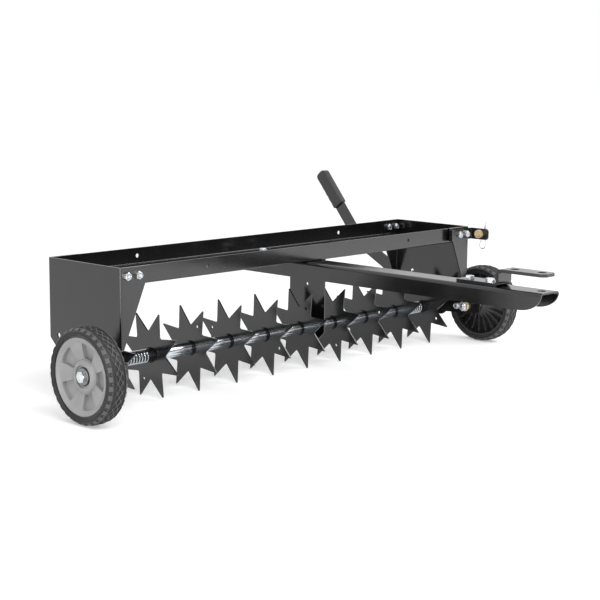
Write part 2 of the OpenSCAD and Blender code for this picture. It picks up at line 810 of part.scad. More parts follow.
module lever_grip() {
  mid_x = lever_x + arm_t / 2;
  slot_t = arm_t + 0.2;
  slot_w = tang_w + 0.2;
  color(rubber) placed() shaft_line() translate([mid_x, lever_neck[0], lever_neck[1]])
    rotate([lever_up_angle, 0, 0]) difference() {
      intersection() {
        along_x(-grip_t, grip_t) grip_side();
        translate([0, grip_len + 1, 0]) rotate([90, 0, 0]) linear_extrude(grip_len + 2) grip_section();
        translate([0, 0, -grip_w]) linear_extrude(grip_w * 2) rotate([0, 0, 90]) grip_plan();
      }
      translate([-slot_t / 2, -1, -slot_w / 2]) cube([slot_t, grip_len - 13, slot_w]);
    }
}

// Bolts of the arms: on the right the lever is in the stack
module arm_bolts() {
  head_right = lever_x + arm_t;
  head_left = arm_x + arm_t;
  color(zinc) placed() {
    arm_frame() translate([head_right, arm_bolt_in, 0]) rotate([0, -90, 0])
      bolt_and_nut(bolt_d, stack_right, 0.5 + bolt_d * 0.9);
    mirror([1, 0, 0]) arm_frame() translate([head_left, arm_bolt_in, 0]) rotate([0, -90, 0])
      bolt_and_nut(bolt_d, stack_left, 0.5 + bolt_d * 0.9);
  }
}

module lever_lock_stud() {
  nose_x = half_w + turn_gap;
  nut_x = lever_x + arm_t;
  color(zinc) placed() shaft_line() rotate([lever_angle, 0, 0]) translate([0, lock_r, 0]) {
    rod_x(bolt_d, nose_x, nut_x);
    translate([nut_x, 0, 0]) rotate([0, 90, 0]) cylinder(r = hex_r(bolt_d), h = bolt_d * 0.65, $fn = 6);
  }
}

// Wheels: bush, rim, tyre and cover, drawn along +Z from the tyre's inner side

hub_in = -1;
bush_out = tyre_w - 11;
washer_t = 2;
head_h = 7;
bush_r = hub_bore_r;

module wheel_line() {
  axle_line() translate([wheel_x, 0, 0]) rotate([90, 0, 90]) children();
}

module wheel_bush() {
  wheel_line() translate([0, 0, hub_in - 0.4]) difference() {
    cylinder(r = bush_r - 0.05, h = bush_out - hub_in + 0.4);
    translate([0, 0, -1]) cylinder(d = axle_d + running_fit, h = tyre_w + 2);
  }
}

// Tyre section in (radius, width): step rings on the sidewalls and a flat tread
module tyre() {
  w = tyre_w;
  bead = rim_r + 0.1;
  wheel_line() rotate_extrude($fn = 96) polygon([
    [bead, 4], [bead + 2.5, 1.6], [bead + 5, 1.6], [bead + 6.4, 0.4], [tyre_r - 5, 0], [tyre_r - 2, 1.6],
    [tyre_r - 0.6, 4], [tyre_r, 8], [tyre_r, w - 8], [tyre_r - 0.6, w - 4], [tyre_r - 2, w - 1.6],
    [tyre_r - 5, w], [bead + 6.4, w - 0.4], [bead + 5, w - 1.6], [bead + 2.5, w - 1.6], [bead, w - 4]
  ]);
}

// Levels of the cover's dish at its ring and at its boss, from the wheel's inner side
cover_top = tyre_w - 2;
cover_lip_r = rim_r - 3.2;
ring_r = 60.5;
boss_r = 31;
ring_z = cover_top - 5;
boss_z = cover_top - cover_dish;
dish_slope = (ring_z - boss_z) / (ring_r - boss_r);
function dish_z(r) = boss_z + (r - boss_r) * dish_slope;

// Rim: a drum, a dished web under the cover's pockets, a cone to the hub and thin ribs
rim_wall = 3;
web_t = 3;
cone_r = 38;
hub_r = 17;
pocket_floor_t = 1.5;
function web_z(r) = dish_z(r) - pocket_deep - pocket_floor_t - 0.5;

module rim() {
  drum_r = rim_r - rim_wall;
  wheel_line() {
    rotate_extrude($fn = 96) polygon([
      [rim_r, 3.8], [rim_r, tyre_w - 3.9], [drum_r, tyre_w - 3.9], [drum_r, web_z(drum_r)],
      [cone_r - 2, web_z(cone_r - 2)], [hub_r + 2, hub_in + 9], [hub_r, hub_in + 9], [hub_r, bush_out],
      [bush_r, bush_out], [bush_r, hub_in], [hub_r - 2, hub_in], [hub_r, hub_in + 3],
      [cone_r, web_z(cone_r) - web_t], [drum_r, web_z(drum_r) - web_t], [drum_r, 3.8]
    ]);
    for (k = [0:rim_ribs - 1])
      rotate([0, 0, 360 * k / rim_ribs]) rim_rib(drum_r);
  }
}

// One rib: it runs from the hub to the drum and carries a small round stud
module rim_rib(drum_r) {
  stud_r = drum_r - 9;
  translate([0, rim_rib_t / 2, 0]) rotate([90, 0, 0]) linear_extrude(rim_rib_t)
    polygon([[hub_r, hub_in + 4], [cone_r - 8, 8], [stud_r, 8.5], [drum_r + 0.1, 5],
      [drum_r + 0.1, web_z(drum_r) - 1], [cone_r, web_z(cone_r) - 1], [hub_r - 0.1, hub_in + 6]]);
  translate([stud_r, 0, 7.5]) cylinder(d = rim_rib_t + 2.5, h = web_z(stud_r) - 8.5, $fn = 20);
}

// Outline of a pocket: two straight radial sides and two round ends, from above
module pocket_outline(r1, r2, half, round_r) {
  steps = 6;
  radii = [for (i = [0:steps]) i == 0 || i == steps ? round_r : 0];
  polygon(rounded(concat(
    [for (i = [0:steps]) let (a = half * (2 * i / steps - 1)) r2 * [cos(a), sin(a)]],
    [for (i = [steps:-1:0]) let (a = half * (2 * i / steps - 1)) r1 * [cos(a), sin(a)]]),
    concat(radii, radii), 3));
}

// A ring whose lower face follows the dish at a depth
module above_dish(deep) {
  rotate_extrude($fn = 96) polygon([[boss_r - 2, dish_z(boss_r - 2) - deep],
    [ring_r + 2, dish_z(ring_r + 2) - deep], [ring_r + 2, cover_top + 5], [boss_r - 2, cover_top + 5]]);
}

// Cover: a lip, a dished face with pockets and thick spokes between them, and a boss
module wheel_cover() {
  top = cover_top;
  step = 360 / cover_pockets;
  low = pocket_deep + pocket_floor_t;
  recess_r = 20.5;
  wheel_line() difference() {
    rotate_extrude($fn = 96) polygon([
      [recess_r, top - cover_dish - 2], [recess_r, top - 6], [recess_r + 1, top - 5.2], [recess_r + 2.2, top - 5.2],
      [recess_r + 2.8, top - 5.8], [boss_r - 4, top - 6.6], [boss_r - 1.5, top - 8.4], [boss_r, boss_z],
      [ring_r, ring_z], [ring_r + 0.3, ring_z + 0.6], [ring_r + 1.5, ring_z + 0.9], [cover_lip_r - 4, top - 0.9],
      [cover_lip_r - 2, top], [cover_lip_r - 0.8, top - 0.2], [cover_lip_r, top - 1.2],
      [cover_lip_r, top - 7], [ring_r + 2, dish_z(ring_r + 2) - low],
      [boss_r - 2, dish_z(boss_r - 2) - low], [boss_r - 2, top - cover_dish - 2]
    ]);
    for (k = [0:cover_pockets - 1])
      rotate([0, 0, step * (k + 0.5)]) intersection() {
        linear_extrude(tyre_w * 2) pocket_outline(boss_r + 1.2, ring_r - 0.6, 18.5, 1.5);
        above_dish(pocket_deep);
      }
  }
}

// Axle bolt: the head stands in the cover's recess and the nut inside the arm
module axle_bolt() {
  washer_z = bush_out + turn_gap;
  head_z = washer_z + washer_t;
  nut_z = arm_x - wheel_x - axle_washer_t;
  wheel_line() {
    translate([0, 0, head_z]) cylinder(r = axle_hex_r, h = head_h, $fn = 6);
    translate([0, 0, nut_z - 13]) cylinder(d = axle_d, h = head_z - nut_z + 13);
    translate([0, 0, washer_z]) washer(axle_d, 30, washer_t);
    translate([0, 0, nut_z]) mirror([0, 0, 1]) axle_nut();
  }
}

axle_hex_r = 19 * hex_ratio / 2;
axle_washer_t = 1.6;

// Thin washers between the arms and the axle nuts
module axle_washers() {
  color(gold_zinc) placed() for (side = [0, 1])
    mirror([side, 0, 0]) wheel_line() translate([0, 0, arm_x - wheel_x - axle_washer_t])
      washer(axle_d, 24, axle_washer_t);
}

module axle_nut() {
  difference() {
    union() {
      cylinder(r = axle_hex_r, h = 8, $fn = 6);
      cylinder(d = 17.5, h = 10.5, $fn = 32);
    }
    translate([0, 0, -1]) cylinder(d = axle_d + nut_fit, h = 14);
  }
}

module axle_sleeve() {
  wheel_line() translate([0, 0, arm_x + arm_t - wheel_x]) difference() {
    cylinder(d = sleeve_d, h = wheel_x - arm_x - arm_t + hub_in - 0.4 - turn_gap);
    translate([0, 0, -1]) cylinder(d = axle_d + nut_fit * 2, h = wheel_gap);
  }
}

module left_side() {
  placed() mirror([1, 0, 0]) children();
}

module left_tyre() { color(rubber) left_side() tyre(); }
module left_rim() { color(black) left_side() rim(); }
module left_wheel_cover() { color(pale) left_side() wheel_cover(); }
module left_wheel_bush() { color(pale) left_side() wheel_bush(); }
module left_axle_bolt() { color(zinc) left_side() axle_bolt(); }
module left_axle_sleeve() { color(zinc) left_side() axle_sleeve(); }
module right_tyre() { color(rubber) placed() tyre(); }
module right_rim() { color(black) placed() rim(); }
module right_wheel_cover() { color(pale) placed() wheel_cover(); }
module right_wheel_bush() { color(pale) placed() wheel_bush(); }
module right_axle_bolt() { color(zinc) placed() axle_bolt(); }
module right_axle_sleeve() { color(zinc) placed() axle_sleeve(); }

// Star discs

function disc_x(i) = (i - (disc_count - 1) / 2) * disc_pitch;
function disc_right(i) = disc_x(i) + disc_t / 2;
function collar_left(i) = disc_x(i) - disc_t / 2 - collar_len;

// The star's outline: sharp tines and filleted roots, with the tip's rounding allowed for
half_step = 180 / tines;
tine_half = atan2(disc_root_r * sin(half_step), disc_r - disc_root_r * cos(half_step));
star_tip_r = disc_r + tip_round * (1 / sin(tine_half) - 1);
star_points = [for (k = [0:tines - 1]) each
  [star_tip_r * [cos(2 * half_step * k), sin(2 * half_step * k)],
   disc_root_r * [cos(2 * half_step * k + half_step), sin(2 * half_step * k + half_step)]]];
star_radii = [for (k = [0:tines - 1]) each [tip_round, root_fillet]];

// lean turns the star about the shaft, from a tine that points straight down
// punch is the direction of the punched hole's tine
module star_disc(i, lean, punch) {
  color(black) placed() shaft_line() {
    difference() {
      rotate([-90 + lean, 0, 0]) along_x(disc_x(i) - disc_t / 2, disc_right(i))
        difference() {
          polygon(rounded(star_points, star_radii, 4));
          rotate([0, 0, punch]) translate([punch_r, 0]) circle(d = punch_d, $fn = 24);
        }
      rod_x(shaft_d + running_fit, disc_x(i) - disc_t, disc_x(i) + disc_t);
    }
    tube_x(collar_d, shaft_d + running_fit, collar_left(i), disc_x(i));
  }
}

module star_disc_0() { star_disc(0, -disc_lean, 45); }
module star_disc_1() { star_disc(1, disc_lean, 180); }
module star_disc_2() { star_disc(2, -disc_lean, 45); }
module star_disc_3() { star_disc(3, -disc_lean, -45); }
module star_disc_4() { star_disc(4, -disc_lean, 135); }
module star_disc_5() { star_disc(5, -disc_lean, 45); }
module star_disc_6() { star_disc(6, -disc_lean, 180); }
module star_disc_7() { star_disc(7, -disc_lean, 90); }
module star_disc_8() { star_disc(8, -disc_lean, -90); }
module star_disc_9() { star_disc(9, -disc_lean, 135); }

// Spacer tube k fills the space left of disc k, or the space between a disc and the hanger
module spacer(x1, x2) {
  color(zinc) placed() shaft_line() tube_x(tube_d, tube_bore, x1, x2);
}

module spacer_tube_1() { spacer(disc_right(1) + turn_gap, collar_left(2)); }
module spacer_tube_2() { spacer(disc_right(2) + turn_gap, collar_left(3)); }
module spacer_tube_3() { spacer(disc_right(3) + turn_gap, collar_left(4)); }
module spacer_tube_4() { spacer(disc_right(4) + turn_gap, collar_left(5)); }
module spacer_tube_5() { spacer(disc_right(5), hanger_x1 - turn_gap); }
module spacer_tube_6() { spacer(hanger_x2 + turn_gap, collar_left(6)); }
module spacer_tube_7() { spacer(disc_right(6) + turn_gap, collar_left(7)); }
module spacer_tube_8() { spacer(disc_right(7) + turn_gap, collar_left(8)); }

module end_spacers() {
  color(zinc) placed() shaft_line() {
    tube_x(tube_d, tube_bore, -plate_in_x + turn_gap, collar_left(0) - turn_gap);
    tube_x(tube_d, tube_bore, disc_right(disc_count - 1) + turn_gap, plate_in_x - turn_gap);
  }
}

// Shaft springs: one wire each, with an end curl that lies close to the next one

spring_rings = 12;
spring_sides = 6;
spring_mean_r = (spring_d - spring_wire) / 2;
close_pitch = spring_wire + 0.6;

// Place along the spring after a number of turns, with close first and last turns
function spring_at(turn, length) =
  let (
    total = length - spring_wire,
    open = (total - 2 * close_pitch) / (spring_curls - 2)
  )
  spring_wire / 2 + (
    turn < 1 ? turn * close_pitch :
    turn < spring_curls - 1 ? close_pitch + (turn - 1) * open :
    total - (spring_curls - turn) * close_pitch);

function spring_path(length) =
  [for (i = [0:spring_curls * spring_rings]) let (a = 360 * i / spring_rings)
    [spring_at(i / spring_rings, length), spring_mean_r * cos(a), spring_mean_r * sin(a)]];

// Rings of the wire lie across the shaft's radius and along the shaft, tilted by the pitch
function spring_ring(path, i) =
  let (
    last = len(path) - 1,
    dir = unit(path[min(i + 1, last)] - path[max(i - 1, 0)]),
    out = unit([0, path[i][1], path[i][2]]),
    flat = unit(cross(dir, out)),
    up = cross(flat, dir)
  )
  [for (k = [0:spring_sides - 1]) let (a = 360 * k / spring_sides)
    path[i] + (up * cos(a) + flat * sin(a)) * spring_wire / 2];

module spring_between(x1, x2) {
  path = spring_path(x2 - x1);
  points = [for (i = [0:len(path) - 1]) each spring_ring(path, i)];
  gap = min([for (i = [0:len(path) - 1 - spring_rings]) norm(path[i + spring_rings] - path[i])]) - spring_wire;
  echo(least_gap_between_curls = gap);
  translate([x1, 0, 0]) polyhedron(points, wire_faces(len(path), spring_sides));
}

module left_spring() {
  color(zinc) placed() shaft_line() spring_between(disc_right(0) + turn_gap, collar_left(1) - turn_gap);
}

module right_spring() {
  color(zinc) placed() shaft_line() spring_between(disc_right(8) + turn_gap, collar_left(9) - turn_gap);
}

tray_pan();
left_end_plate();
right_end_plate();
center_hanger();
drawbar();
hitch_plate();
hitch_plate_bolts();
drawbar_bolts();
tray_corner_bolts();
hanger_bolts();
pin_holder();
hitch_pin();
hairpin_clip();
disc_shaft();
left_wheel_arm();
right_wheel_arm();
transport_lever();
lever_grip();
arm_bolts();
left_axle_bolt();
right_axle_bolt();
left_axle_sleeve();
right_axle_sleeve();
axle_washers();
shaft_end_nuts();
lever_lock_stud();
left_spring();
right_spring();
end_spacers();
star_disc_0();
star_disc_1();
star_disc_2();
star_disc_3();
star_disc_4();
star_disc_5();
star_disc_6();
star_disc_7();
star_disc_8();
star_disc_9();
spacer_tube_1();
spacer_tube_2();
spacer_tube_3();
spacer_tube_4();
spacer_tube_5();
spacer_tube_6();
spacer_tube_7();
spacer_tube_8();
left_tyre();
left_rim();
left_wheel_cover();
left_wheel_bush();
right_tyre();
right_rim();
right_wheel_cover();
right_wheel_bush();
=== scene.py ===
import json
from math import atan2, cos, hypot, pi, radians, sin, sqrt

import bpy
from mathutils import Matrix, Vector


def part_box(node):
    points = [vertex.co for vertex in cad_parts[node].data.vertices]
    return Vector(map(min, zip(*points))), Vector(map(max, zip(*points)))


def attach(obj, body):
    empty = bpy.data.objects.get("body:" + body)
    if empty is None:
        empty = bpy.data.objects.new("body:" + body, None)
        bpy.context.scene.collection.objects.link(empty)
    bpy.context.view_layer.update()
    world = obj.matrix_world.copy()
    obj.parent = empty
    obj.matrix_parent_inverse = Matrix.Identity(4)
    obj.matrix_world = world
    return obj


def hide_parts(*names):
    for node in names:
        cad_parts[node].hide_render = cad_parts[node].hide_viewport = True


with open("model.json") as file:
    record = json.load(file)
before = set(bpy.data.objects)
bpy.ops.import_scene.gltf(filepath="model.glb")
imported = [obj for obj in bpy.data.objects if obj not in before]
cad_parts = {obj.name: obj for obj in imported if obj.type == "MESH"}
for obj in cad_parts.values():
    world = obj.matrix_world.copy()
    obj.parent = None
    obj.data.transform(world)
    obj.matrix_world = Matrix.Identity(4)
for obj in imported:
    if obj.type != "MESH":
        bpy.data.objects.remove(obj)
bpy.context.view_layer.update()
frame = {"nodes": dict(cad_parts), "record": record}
nodes = frame["nodes"]

MM = 0.001
X, Y, Z = Vector((1, 0, 0)), Vector((0, 1, 0)), Vector((0, 0, 1))

# The camera of the photograph, found from the tray's corners and the row of discs
CAMERA_PLACE = Vector((-2.1416, -1.9360, 0.6307))
CAMERA_AZIMUTH = -46.587
CAMERA_ELEVATION = 9.186
CAMERA_ROLL = 0.524
CAMERA_LENS = 87.51
CAMERA_SENSOR = 36

# Sizes of the CAD model that the new pieces share: the frame and the tray
FRAME_HALF = 508 * MM
TRAY_MIDDLE_Y = 151.398 * MM
WALL_Y = 102 * MM
FLOOR_Z = 239 * MM
PLATE_T = 3 * MM
SHEET_T = 2 * MM
BOLT_Z = 256.3 * MM
CORNER_BOLT_IN = (40 * MM, 14 * MM)
HANGER_BOLT_X = 97.96 * MM
HANGER_BOLT_OFF = 30 * MM

# The drawbar and the hitch; the bolts' places are measured from the tray's middle and the front end
FRONT_Y = TRAY_MIDDLE_Y - 666.5 * MM
HITCH_T = 6 * MM
DRAWBAR_T = 3 * MM
DRAWBAR_BOLTS = (47 * MM, -60 * MM)
HITCH_BOLTS = (130.5 * MM, 175.5 * MM)
HITCH_HEAD = (15 * MM, 5.4 * MM)

# The wheels and their axles
TYRE_R = 88 * MM
TYRE_W = 42 * MM
RIM_R = 73.2 * MM
WHEEL_MIDDLE_X = 578 * MM
WHEEL_INNER_X = WHEEL_MIDDLE_X - TYRE_W / 2
AXLE_Y = TRAY_MIDDLE_Y - 99 * MM
AXLE_Z = 88 * MM
AXLE_D = 12.7 * MM
AXLE_HEX = 19 * MM
AXLE_WASHER_T = 1.6 * MM
AXLE_HEAD_HIGH = 7 * MM
AXLE_NUT = (8 * MM, 2.5 * MM)
AXLE_PAST = 13 * MM

# The shaft with the two wheel arms and the lever, the discs on it, and the disc that each spacer tube
# turns with
SHAFT_Y = TRAY_MIDDLE_Y - 8.5 * MM
SHAFT_Z = 81.6075 * MM
SHAFT_THREAD = 12 * MM
SHAFT_HEX = 18 * MM
SHAFT_NUT_HIGH = 9.6 * MM
ARM_T = 4 * MM
ARM_X = 508.5 * MM
ARM_ANGLE = radians(175.96)
ARM_BOLT_IN = 69.7 * MM
LEVER_ANGLE = radians(28.5)
LOCK_R = 96.8 * MM
DISCS = 10
TUBE_DISCS = (2, 3, 4, 5, 5, 6, 7, 8)

# The left arm's free end: where it begins past the axle, and how far the photograph draws it back
NOSE_START = 18 * MM
NOSE_CUT = 15 * MM

# Two sizes of bolt, and the shares of a bolt's diameter that its head, nut and thread are made with
M8 = 8 * MM
M10 = 10 * MM
HEX_ACROSS = 1.65
HEAD_HIGH = 0.65
NUT_HIGH = 0.72
RING_HIGH = 0.25
THREAD_PITCH = 0.13

# Shares of a hexagon's size at which its chamfer begins, and the chamfer's slope
CHAMFER_START = 0.94
CHAMFER_SLOPE = 0.58

# The tread: flat in the middle and falling to the sides, with crossed ribs and shoulder blocks
CROWN_FLAT = 8 * MM
CROWN_RATE = 0.035 / MM
TREAD_REPEATS = 32
RIB_WIDE = 1.6 * MM
RIB_HIGH = 2.0 * MM
RIB_ROOT = 1.4 * MM
SHOULDER_WIDE = 6.2 * MM
SHOULDER_LONG = 9.4 * MM
SHOULDER_TALL = 4.4 * MM
SHOULDER_PROUD = 0.2 * MM
SHOULDER_IN = 0.9 * MM

# Wire, and the fineness of the grip's moulding
SPRING_WIRE = 2.4 * MM
SPRING_TURNS = 13
CLIP_WIRE = 2.4
GRIP_VOXEL = 1.1 * MM

# Outlines of turned pieces as (along, radius) in millimetres: the pin's from its bearing face, the
# others from the wheel's inner side
LOCK_PIN = ((0, 0), (0, 4), (7.5, 4), (8.2, 3.3), (8.2, 0))
HEAD_WASHER = ((31.3, 6.4), (31.3, 14.8), (31.6, 15), (33, 15), (33.3, 14.8), (33.3, 6.4))
HUB_FACE = ((29.4, 7), (29.4, 20.4), (30.9, 20.4), (30.9, 17.6), (30.3, 17.2), (30.3, 16.4),
            (30.9, 16), (30.9, 7))

# How far the edges of each kind of piece are eased
SHEET_EDGE = 0.8 * MM
BAR_EDGE = 0.7 * MM
HITCH_EDGE = 1.0 * MM
DISC_EDGE = 0.25 * MM
COVER_EDGE = 0.7 * MM
TURNED_EDGE = 0.4 * MM
PIN_EDGE = 0.5 * MM
WASHER_EDGE = 0.2 * MM

# Corners nearer than this are merged. Angles in degrees: faces this close to one plane are joined,
# and edges sharper than the second angle stay sharp
SAME_PLACE = 0.000004
ONE_PLANE = 1.0
SHARP_EDGE = 32

# How the studio looks: what matt surfaces get of the world's white, how much the front side is
# dimmed near the ground, and how much the floor's paper glows close by and further off
MATT_SHARE = 0.62
FRONT_DIM = 0.8
PAPER_GLOW = 0.37
FAR_GLOW = 0.15

# Softboxes: name, place, what they point at, size and power
SOFTBOXES = (
    ("key softbox", (-1.2, -2.0, 2.6), (0, 0, 0.1), (2.2, 1.2), 58),
    ("right softbox", (1.4, -1.2, 1.5), (1.2, -1.1, 0), (1.6, 0.8), 30),
    ("front softbox", (-2.9, -2.9, 0.5), (0, 0, 0.15), (0.7, 0.5), 30),
    ("left strip", (-1.85, -0.25, 0.16), (-0.5, 0.05, 0.2), (1.0, 0.3), 4.5),
)


# Operators on one piece at a time

def only(*pieces):
    """Selects these pieces and nothing else; the first one is active."""
    bpy.ops.object.select_all(action="DESELECT")
    for piece in pieces:
        piece.select_set(True)
    bpy.context.view_layer.objects.active = pieces[0]


def apply_modifier(piece, kind, **settings):
    only(piece)
    modifier = piece.modifiers.new(kind.lower(), kind)
    for key, value in settings.items():
        setattr(modifier, key, value)
    bpy.ops.object.modifier_apply(modifier=modifier.name)


def clean(piece, flat=None):
    """Merges doubles and points the faces outwards; flat joins faces that lie within that angle."""
    only(piece)
    bpy.ops.object.mode_set(mode="EDIT")
    bpy.ops.mesh.select_all(action="SELECT")
    bpy.ops.mesh.remove_doubles(threshold=SAME_PLACE)
    if flat:
        bpy.ops.mesh.dissolve_limited(angle_limit=radians(flat))
    bpy.ops.mesh.normals_make_consistent(inside=False)
    bpy.ops.object.mode_set(mode="OBJECT")


def smooth(piece, angle=SHARP_EDGE):
    only(piece)
    bpy.ops.object.shade_smooth_by_angle(angle=radians(angle))


def seat(piece):
    """Puts the piece's place into its mesh, so that its object sits at the origin."""
    only(piece)
    bpy.ops.object.transform_apply(location=True, rotation=True, scale=True)


def copy_of(piece, matrix):
    """A copy with its own mesh, moved by a matrix."""
    twin = piece.copy()
    twin.data = piece.data.copy()
    bpy.context.collection.objects.link(twin)
    twin.data.transform(matrix)
    return twin


def join(name, pieces):
    """Makes one piece of several."""
    only(*pieces)
    bpy.ops.object.join()
    piece = bpy.context.view_layer.objects.active
    piece.name = name
    piece.data.name = name
    return piece


def drop(*pieces):
    for piece in pieces:
        bpy.data.objects.remove(piece)


def dress(piece, material):
    piece.data.materials.clear()
    piece.data.materials.append(material)


def place(piece, body, slot_name, material, *replaced):
    """Gives a finished piece its body and material, and hides the CAD nodes it stands for; its slot
    name is not used.
    """
    dress(piece, material)
    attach(piece, body)
    if replaced:
        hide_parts(*replaced)
    return piece


def in_mm(outline):
    """An outline given in millimetres, in metres."""
    return [(along * MM, radius * MM) for along, radius in outline]


def turned(name, outline, steps, axis="X"):
    """A circle's corners are set to an outline of (along, radius), which is spun round an axis."""
    bpy.ops.object.select_all(action="DESELECT")
    bpy.ops.mesh.primitive_circle_add(vertices=len(outline), fill_type="NOTHING")
    piece = bpy.context.object
    piece.name = name
    for corner, (along, radius) in zip(piece.data.vertices, outline):
        corner.co = (along, 0, radius) if axis == "X" else (radius, 0, along)
    apply_modifier(piece, "SCREW", axis=axis, angle=2 * pi, steps=steps, render_steps=steps,
                   use_merge_vertices=True, merge_threshold=0.000002)
    clean(piece)
    return piece


def prism(name, corners, radius, low, high):
    """An upright prism on a regular polygon, with one flat side towards +X."""
    bpy.ops.object.select_all(action="DESELECT")
    bpy.ops.mesh.primitive_cylinder_add(vertices=corners, radius=radius, depth=high - low,
                                        location=(0, 0, (low + high) / 2))
    piece = bpy.context.object
    piece.name = name
    seat(piece)
    return piece


def cut(piece, tool, kind):
    apply_modifier(piece, "BOOLEAN", object=tool, operation=kind, solver="EXACT")
    drop(tool)


def block(name, size, middle, angle=0.0):
    """A box of a size at a place, turned about its upright axis."""
    bpy.ops.object.select_all(action="DESELECT")
    bpy.ops.mesh.primitive_cube_add(size=1, location=middle)
    piece = bpy.context.object
    piece.name = name
    piece.scale = size
    piece.rotation_euler = Matrix.Rotation(angle, 3, "Z").to_euler()
    seat(piece)
    return piece


def looking(direction, origin):
    """The matrix that takes +Z to a direction and the origin to a place."""
    turn = Vector(direction).to_track_quat("Z", "Y").to_matrix().to_4x4()
    return Matrix.Translation(origin) @ turn


# Material helpers

def new_group(name, inputs, outputs):
    group = bpy.data.node_groups.new(name, "ShaderNodeTree")
    for label, kind, value in inputs:
        socket = group.interface.new_socket(label, in_out="INPUT", socket_type=kind)
        if value is not None:
            socket.default_value = value
    for label, kind in outputs:
        group.interface.new_socket(label, in_out="OUTPUT", socket_type=kind)
    entry = group.nodes.new("NodeGroupInput")
    leave = group.nodes.new("NodeGroupOutput")
    return group, entry, leave


def noise(tree, vector, scale, detail, roughness):
    node = tree.nodes.new("ShaderNodeTexNoise")
    node.inputs["Scale"].default_value = scale
    node.inputs["Detail"].default_value = detail
    node.inputs["Roughness"].default_value = roughness
    tree.links.new(vector, node.inputs["Vector"])
    return node.outputs["Fac"]


def math_node(tree, kind, first, second):
    node = tree.nodes.new("ShaderNodeMath")
    node.operation = kind
    for socket, value in zip(node.inputs, (first, second)):
        if isinstance(value, (int, float)):
            socket.default_value = value
        else:
            tree.links.new(value, socket)
    return node.outputs[0]


def spread(tree, value, low, high):
    """Maps a noise value, which lies mostly between 0.3 and 0.7, to a range."""
    node = tree.nodes.new("ShaderNodeMapRange")
    node.inputs["From Min"].default_value = 0.3
    node.inputs["From Max"].default_value = 0.7
    for label, end in (("To Min", low), ("To Max", high)):
        if isinstance(end, (int, float)):
            node.inputs[label].default_value = end
        else:
            tree.links.new(end, node.inputs[label])
    tree.links.new(value, node.inputs["Value"])
    return node.outputs["Result"]


def mix_color(tree, amount, first, second):
    """Mixes two colours, which the Mix node takes in its sockets 6 and 7 and gives in socket 2."""
    node = tree.nodes.new("ShaderNodeMix")
    node.data_type = "RGBA"
    tree.links.new(amount, node.inputs["Factor"])
    for index, value in ((6, first), (7, second)):
        if isinstance(value, tuple):
            node.inputs[index].default_value = value
        else:
            tree.links.new(value, node.inputs[index])
    return node.outputs[2]


def make_uneven():
    """A surface that is a little uneven: its colour and roughness drift over centimetres."""
    group, entry, leave = new_group(
        "uneven finish",
        [("Position", "NodeSocketVector", None),
         ("Color", "NodeSocketColor", (0.1, 0.1, 0.1, 1)),
         ("Second Color", "NodeSocketColor", (0.1, 0.1, 0.1, 1)),
         ("Smooth", "NodeSocketFloat", 0.2),
         ("Rough", "NodeSocketFloat", 0.3),
         ("Drift Scale", "NodeSocketFloat", 20.0)],
        [("Color", "NodeSocketColor"), ("Roughness", "NodeSocketFloat")])
    drift = group.nodes.new("ShaderNodeTexNoise")
    drift.inputs["Detail"].default_value = 4
    group.links.new(entry.outputs["Position"], drift.inputs["Vector"])
    group.links.new(entry.outputs["Drift Scale"], drift.inputs["Scale"])
    amount = spread(group, drift.outputs["Fac"], 0.0, 1.0)
    color = mix_color(group, amount, entry.outputs["Color"], entry.outputs["Second Color"])
    rough = spread(group, drift.outputs["Fac"], entry.outputs["Smooth"], entry.outputs["Rough"])
    group.links.new(color, leave.inputs["Color"])
    group.links.new(rough, leave.inputs["Roughness"])
    return group


def make_skin():
    """Fine texture of a moulded or sprayed skin, as a height."""
    group, entry, leave = new_group(
        "fine skin",
        [("Position", "NodeSocketVector", None),
         ("Grain Scale", "NodeSocketFloat", 900.0),
         ("Wave Scale", "NodeSocketFloat", 120.0),
         ("Wave Share", "NodeSocketFloat", 0.5)],
        [("Height", "NodeSocketFloat")])
    fine = group.nodes.new("ShaderNodeTexNoise")
    fine.inputs["Detail"].default_value = 2
    wave = group.nodes.new("ShaderNodeTexNoise")
    wave.inputs["Detail"].default_value = 1
    for node, label in ((fine, "Grain Scale"), (wave, "Wave Scale")):
        group.links.new(entry.outputs["Position"], node.inputs["Vector"])
        group.links.new(entry.outputs[label], node.inputs["Scale"])
    # The Mix node takes two plain numbers in its sockets 2 and 3
    blend = group.nodes.new("ShaderNodeMix")
    group.links.new(entry.outputs["Wave Share"], blend.inputs["Factor"])
    group.links.new(fine.outputs["Fac"], blend.inputs[2])
    group.links.new(wave.outputs["Fac"], blend.inputs[3])
    group.links.new(blend.outputs[0], leave.inputs["Height"])
    return group


uneven = make_uneven()
skin = make_skin()


def start_material(name):
    material = bpy.data.materials.new(name)
    material.use_nodes = True
    tree = material.node_tree
    shader = tree.nodes["Principled BSDF"]
    position = tree.nodes.new("ShaderNodeTexCoord").outputs["Object"]
    return material, tree, shader, position


def use_group(tree, group, position, **values):
    node = tree.nodes.new("ShaderNodeGroup")
    node.node_tree = group
    tree.links.new(position, node.inputs["Position"])
    for label, value in values.items():
        node.inputs[label.replace("_", " ")].default_value = value
    return node


def bump(tree, shader, height, distance):
    node = tree.nodes.new("ShaderNodeBump")
    node.inputs["Distance"].default_value = distance
    node.inputs["Strength"].default_value = 1.0
    tree.links.new(height, node.inputs["Height"])
    tree.links.new(node.outputs["Normal"], shader.inputs["Normal"])


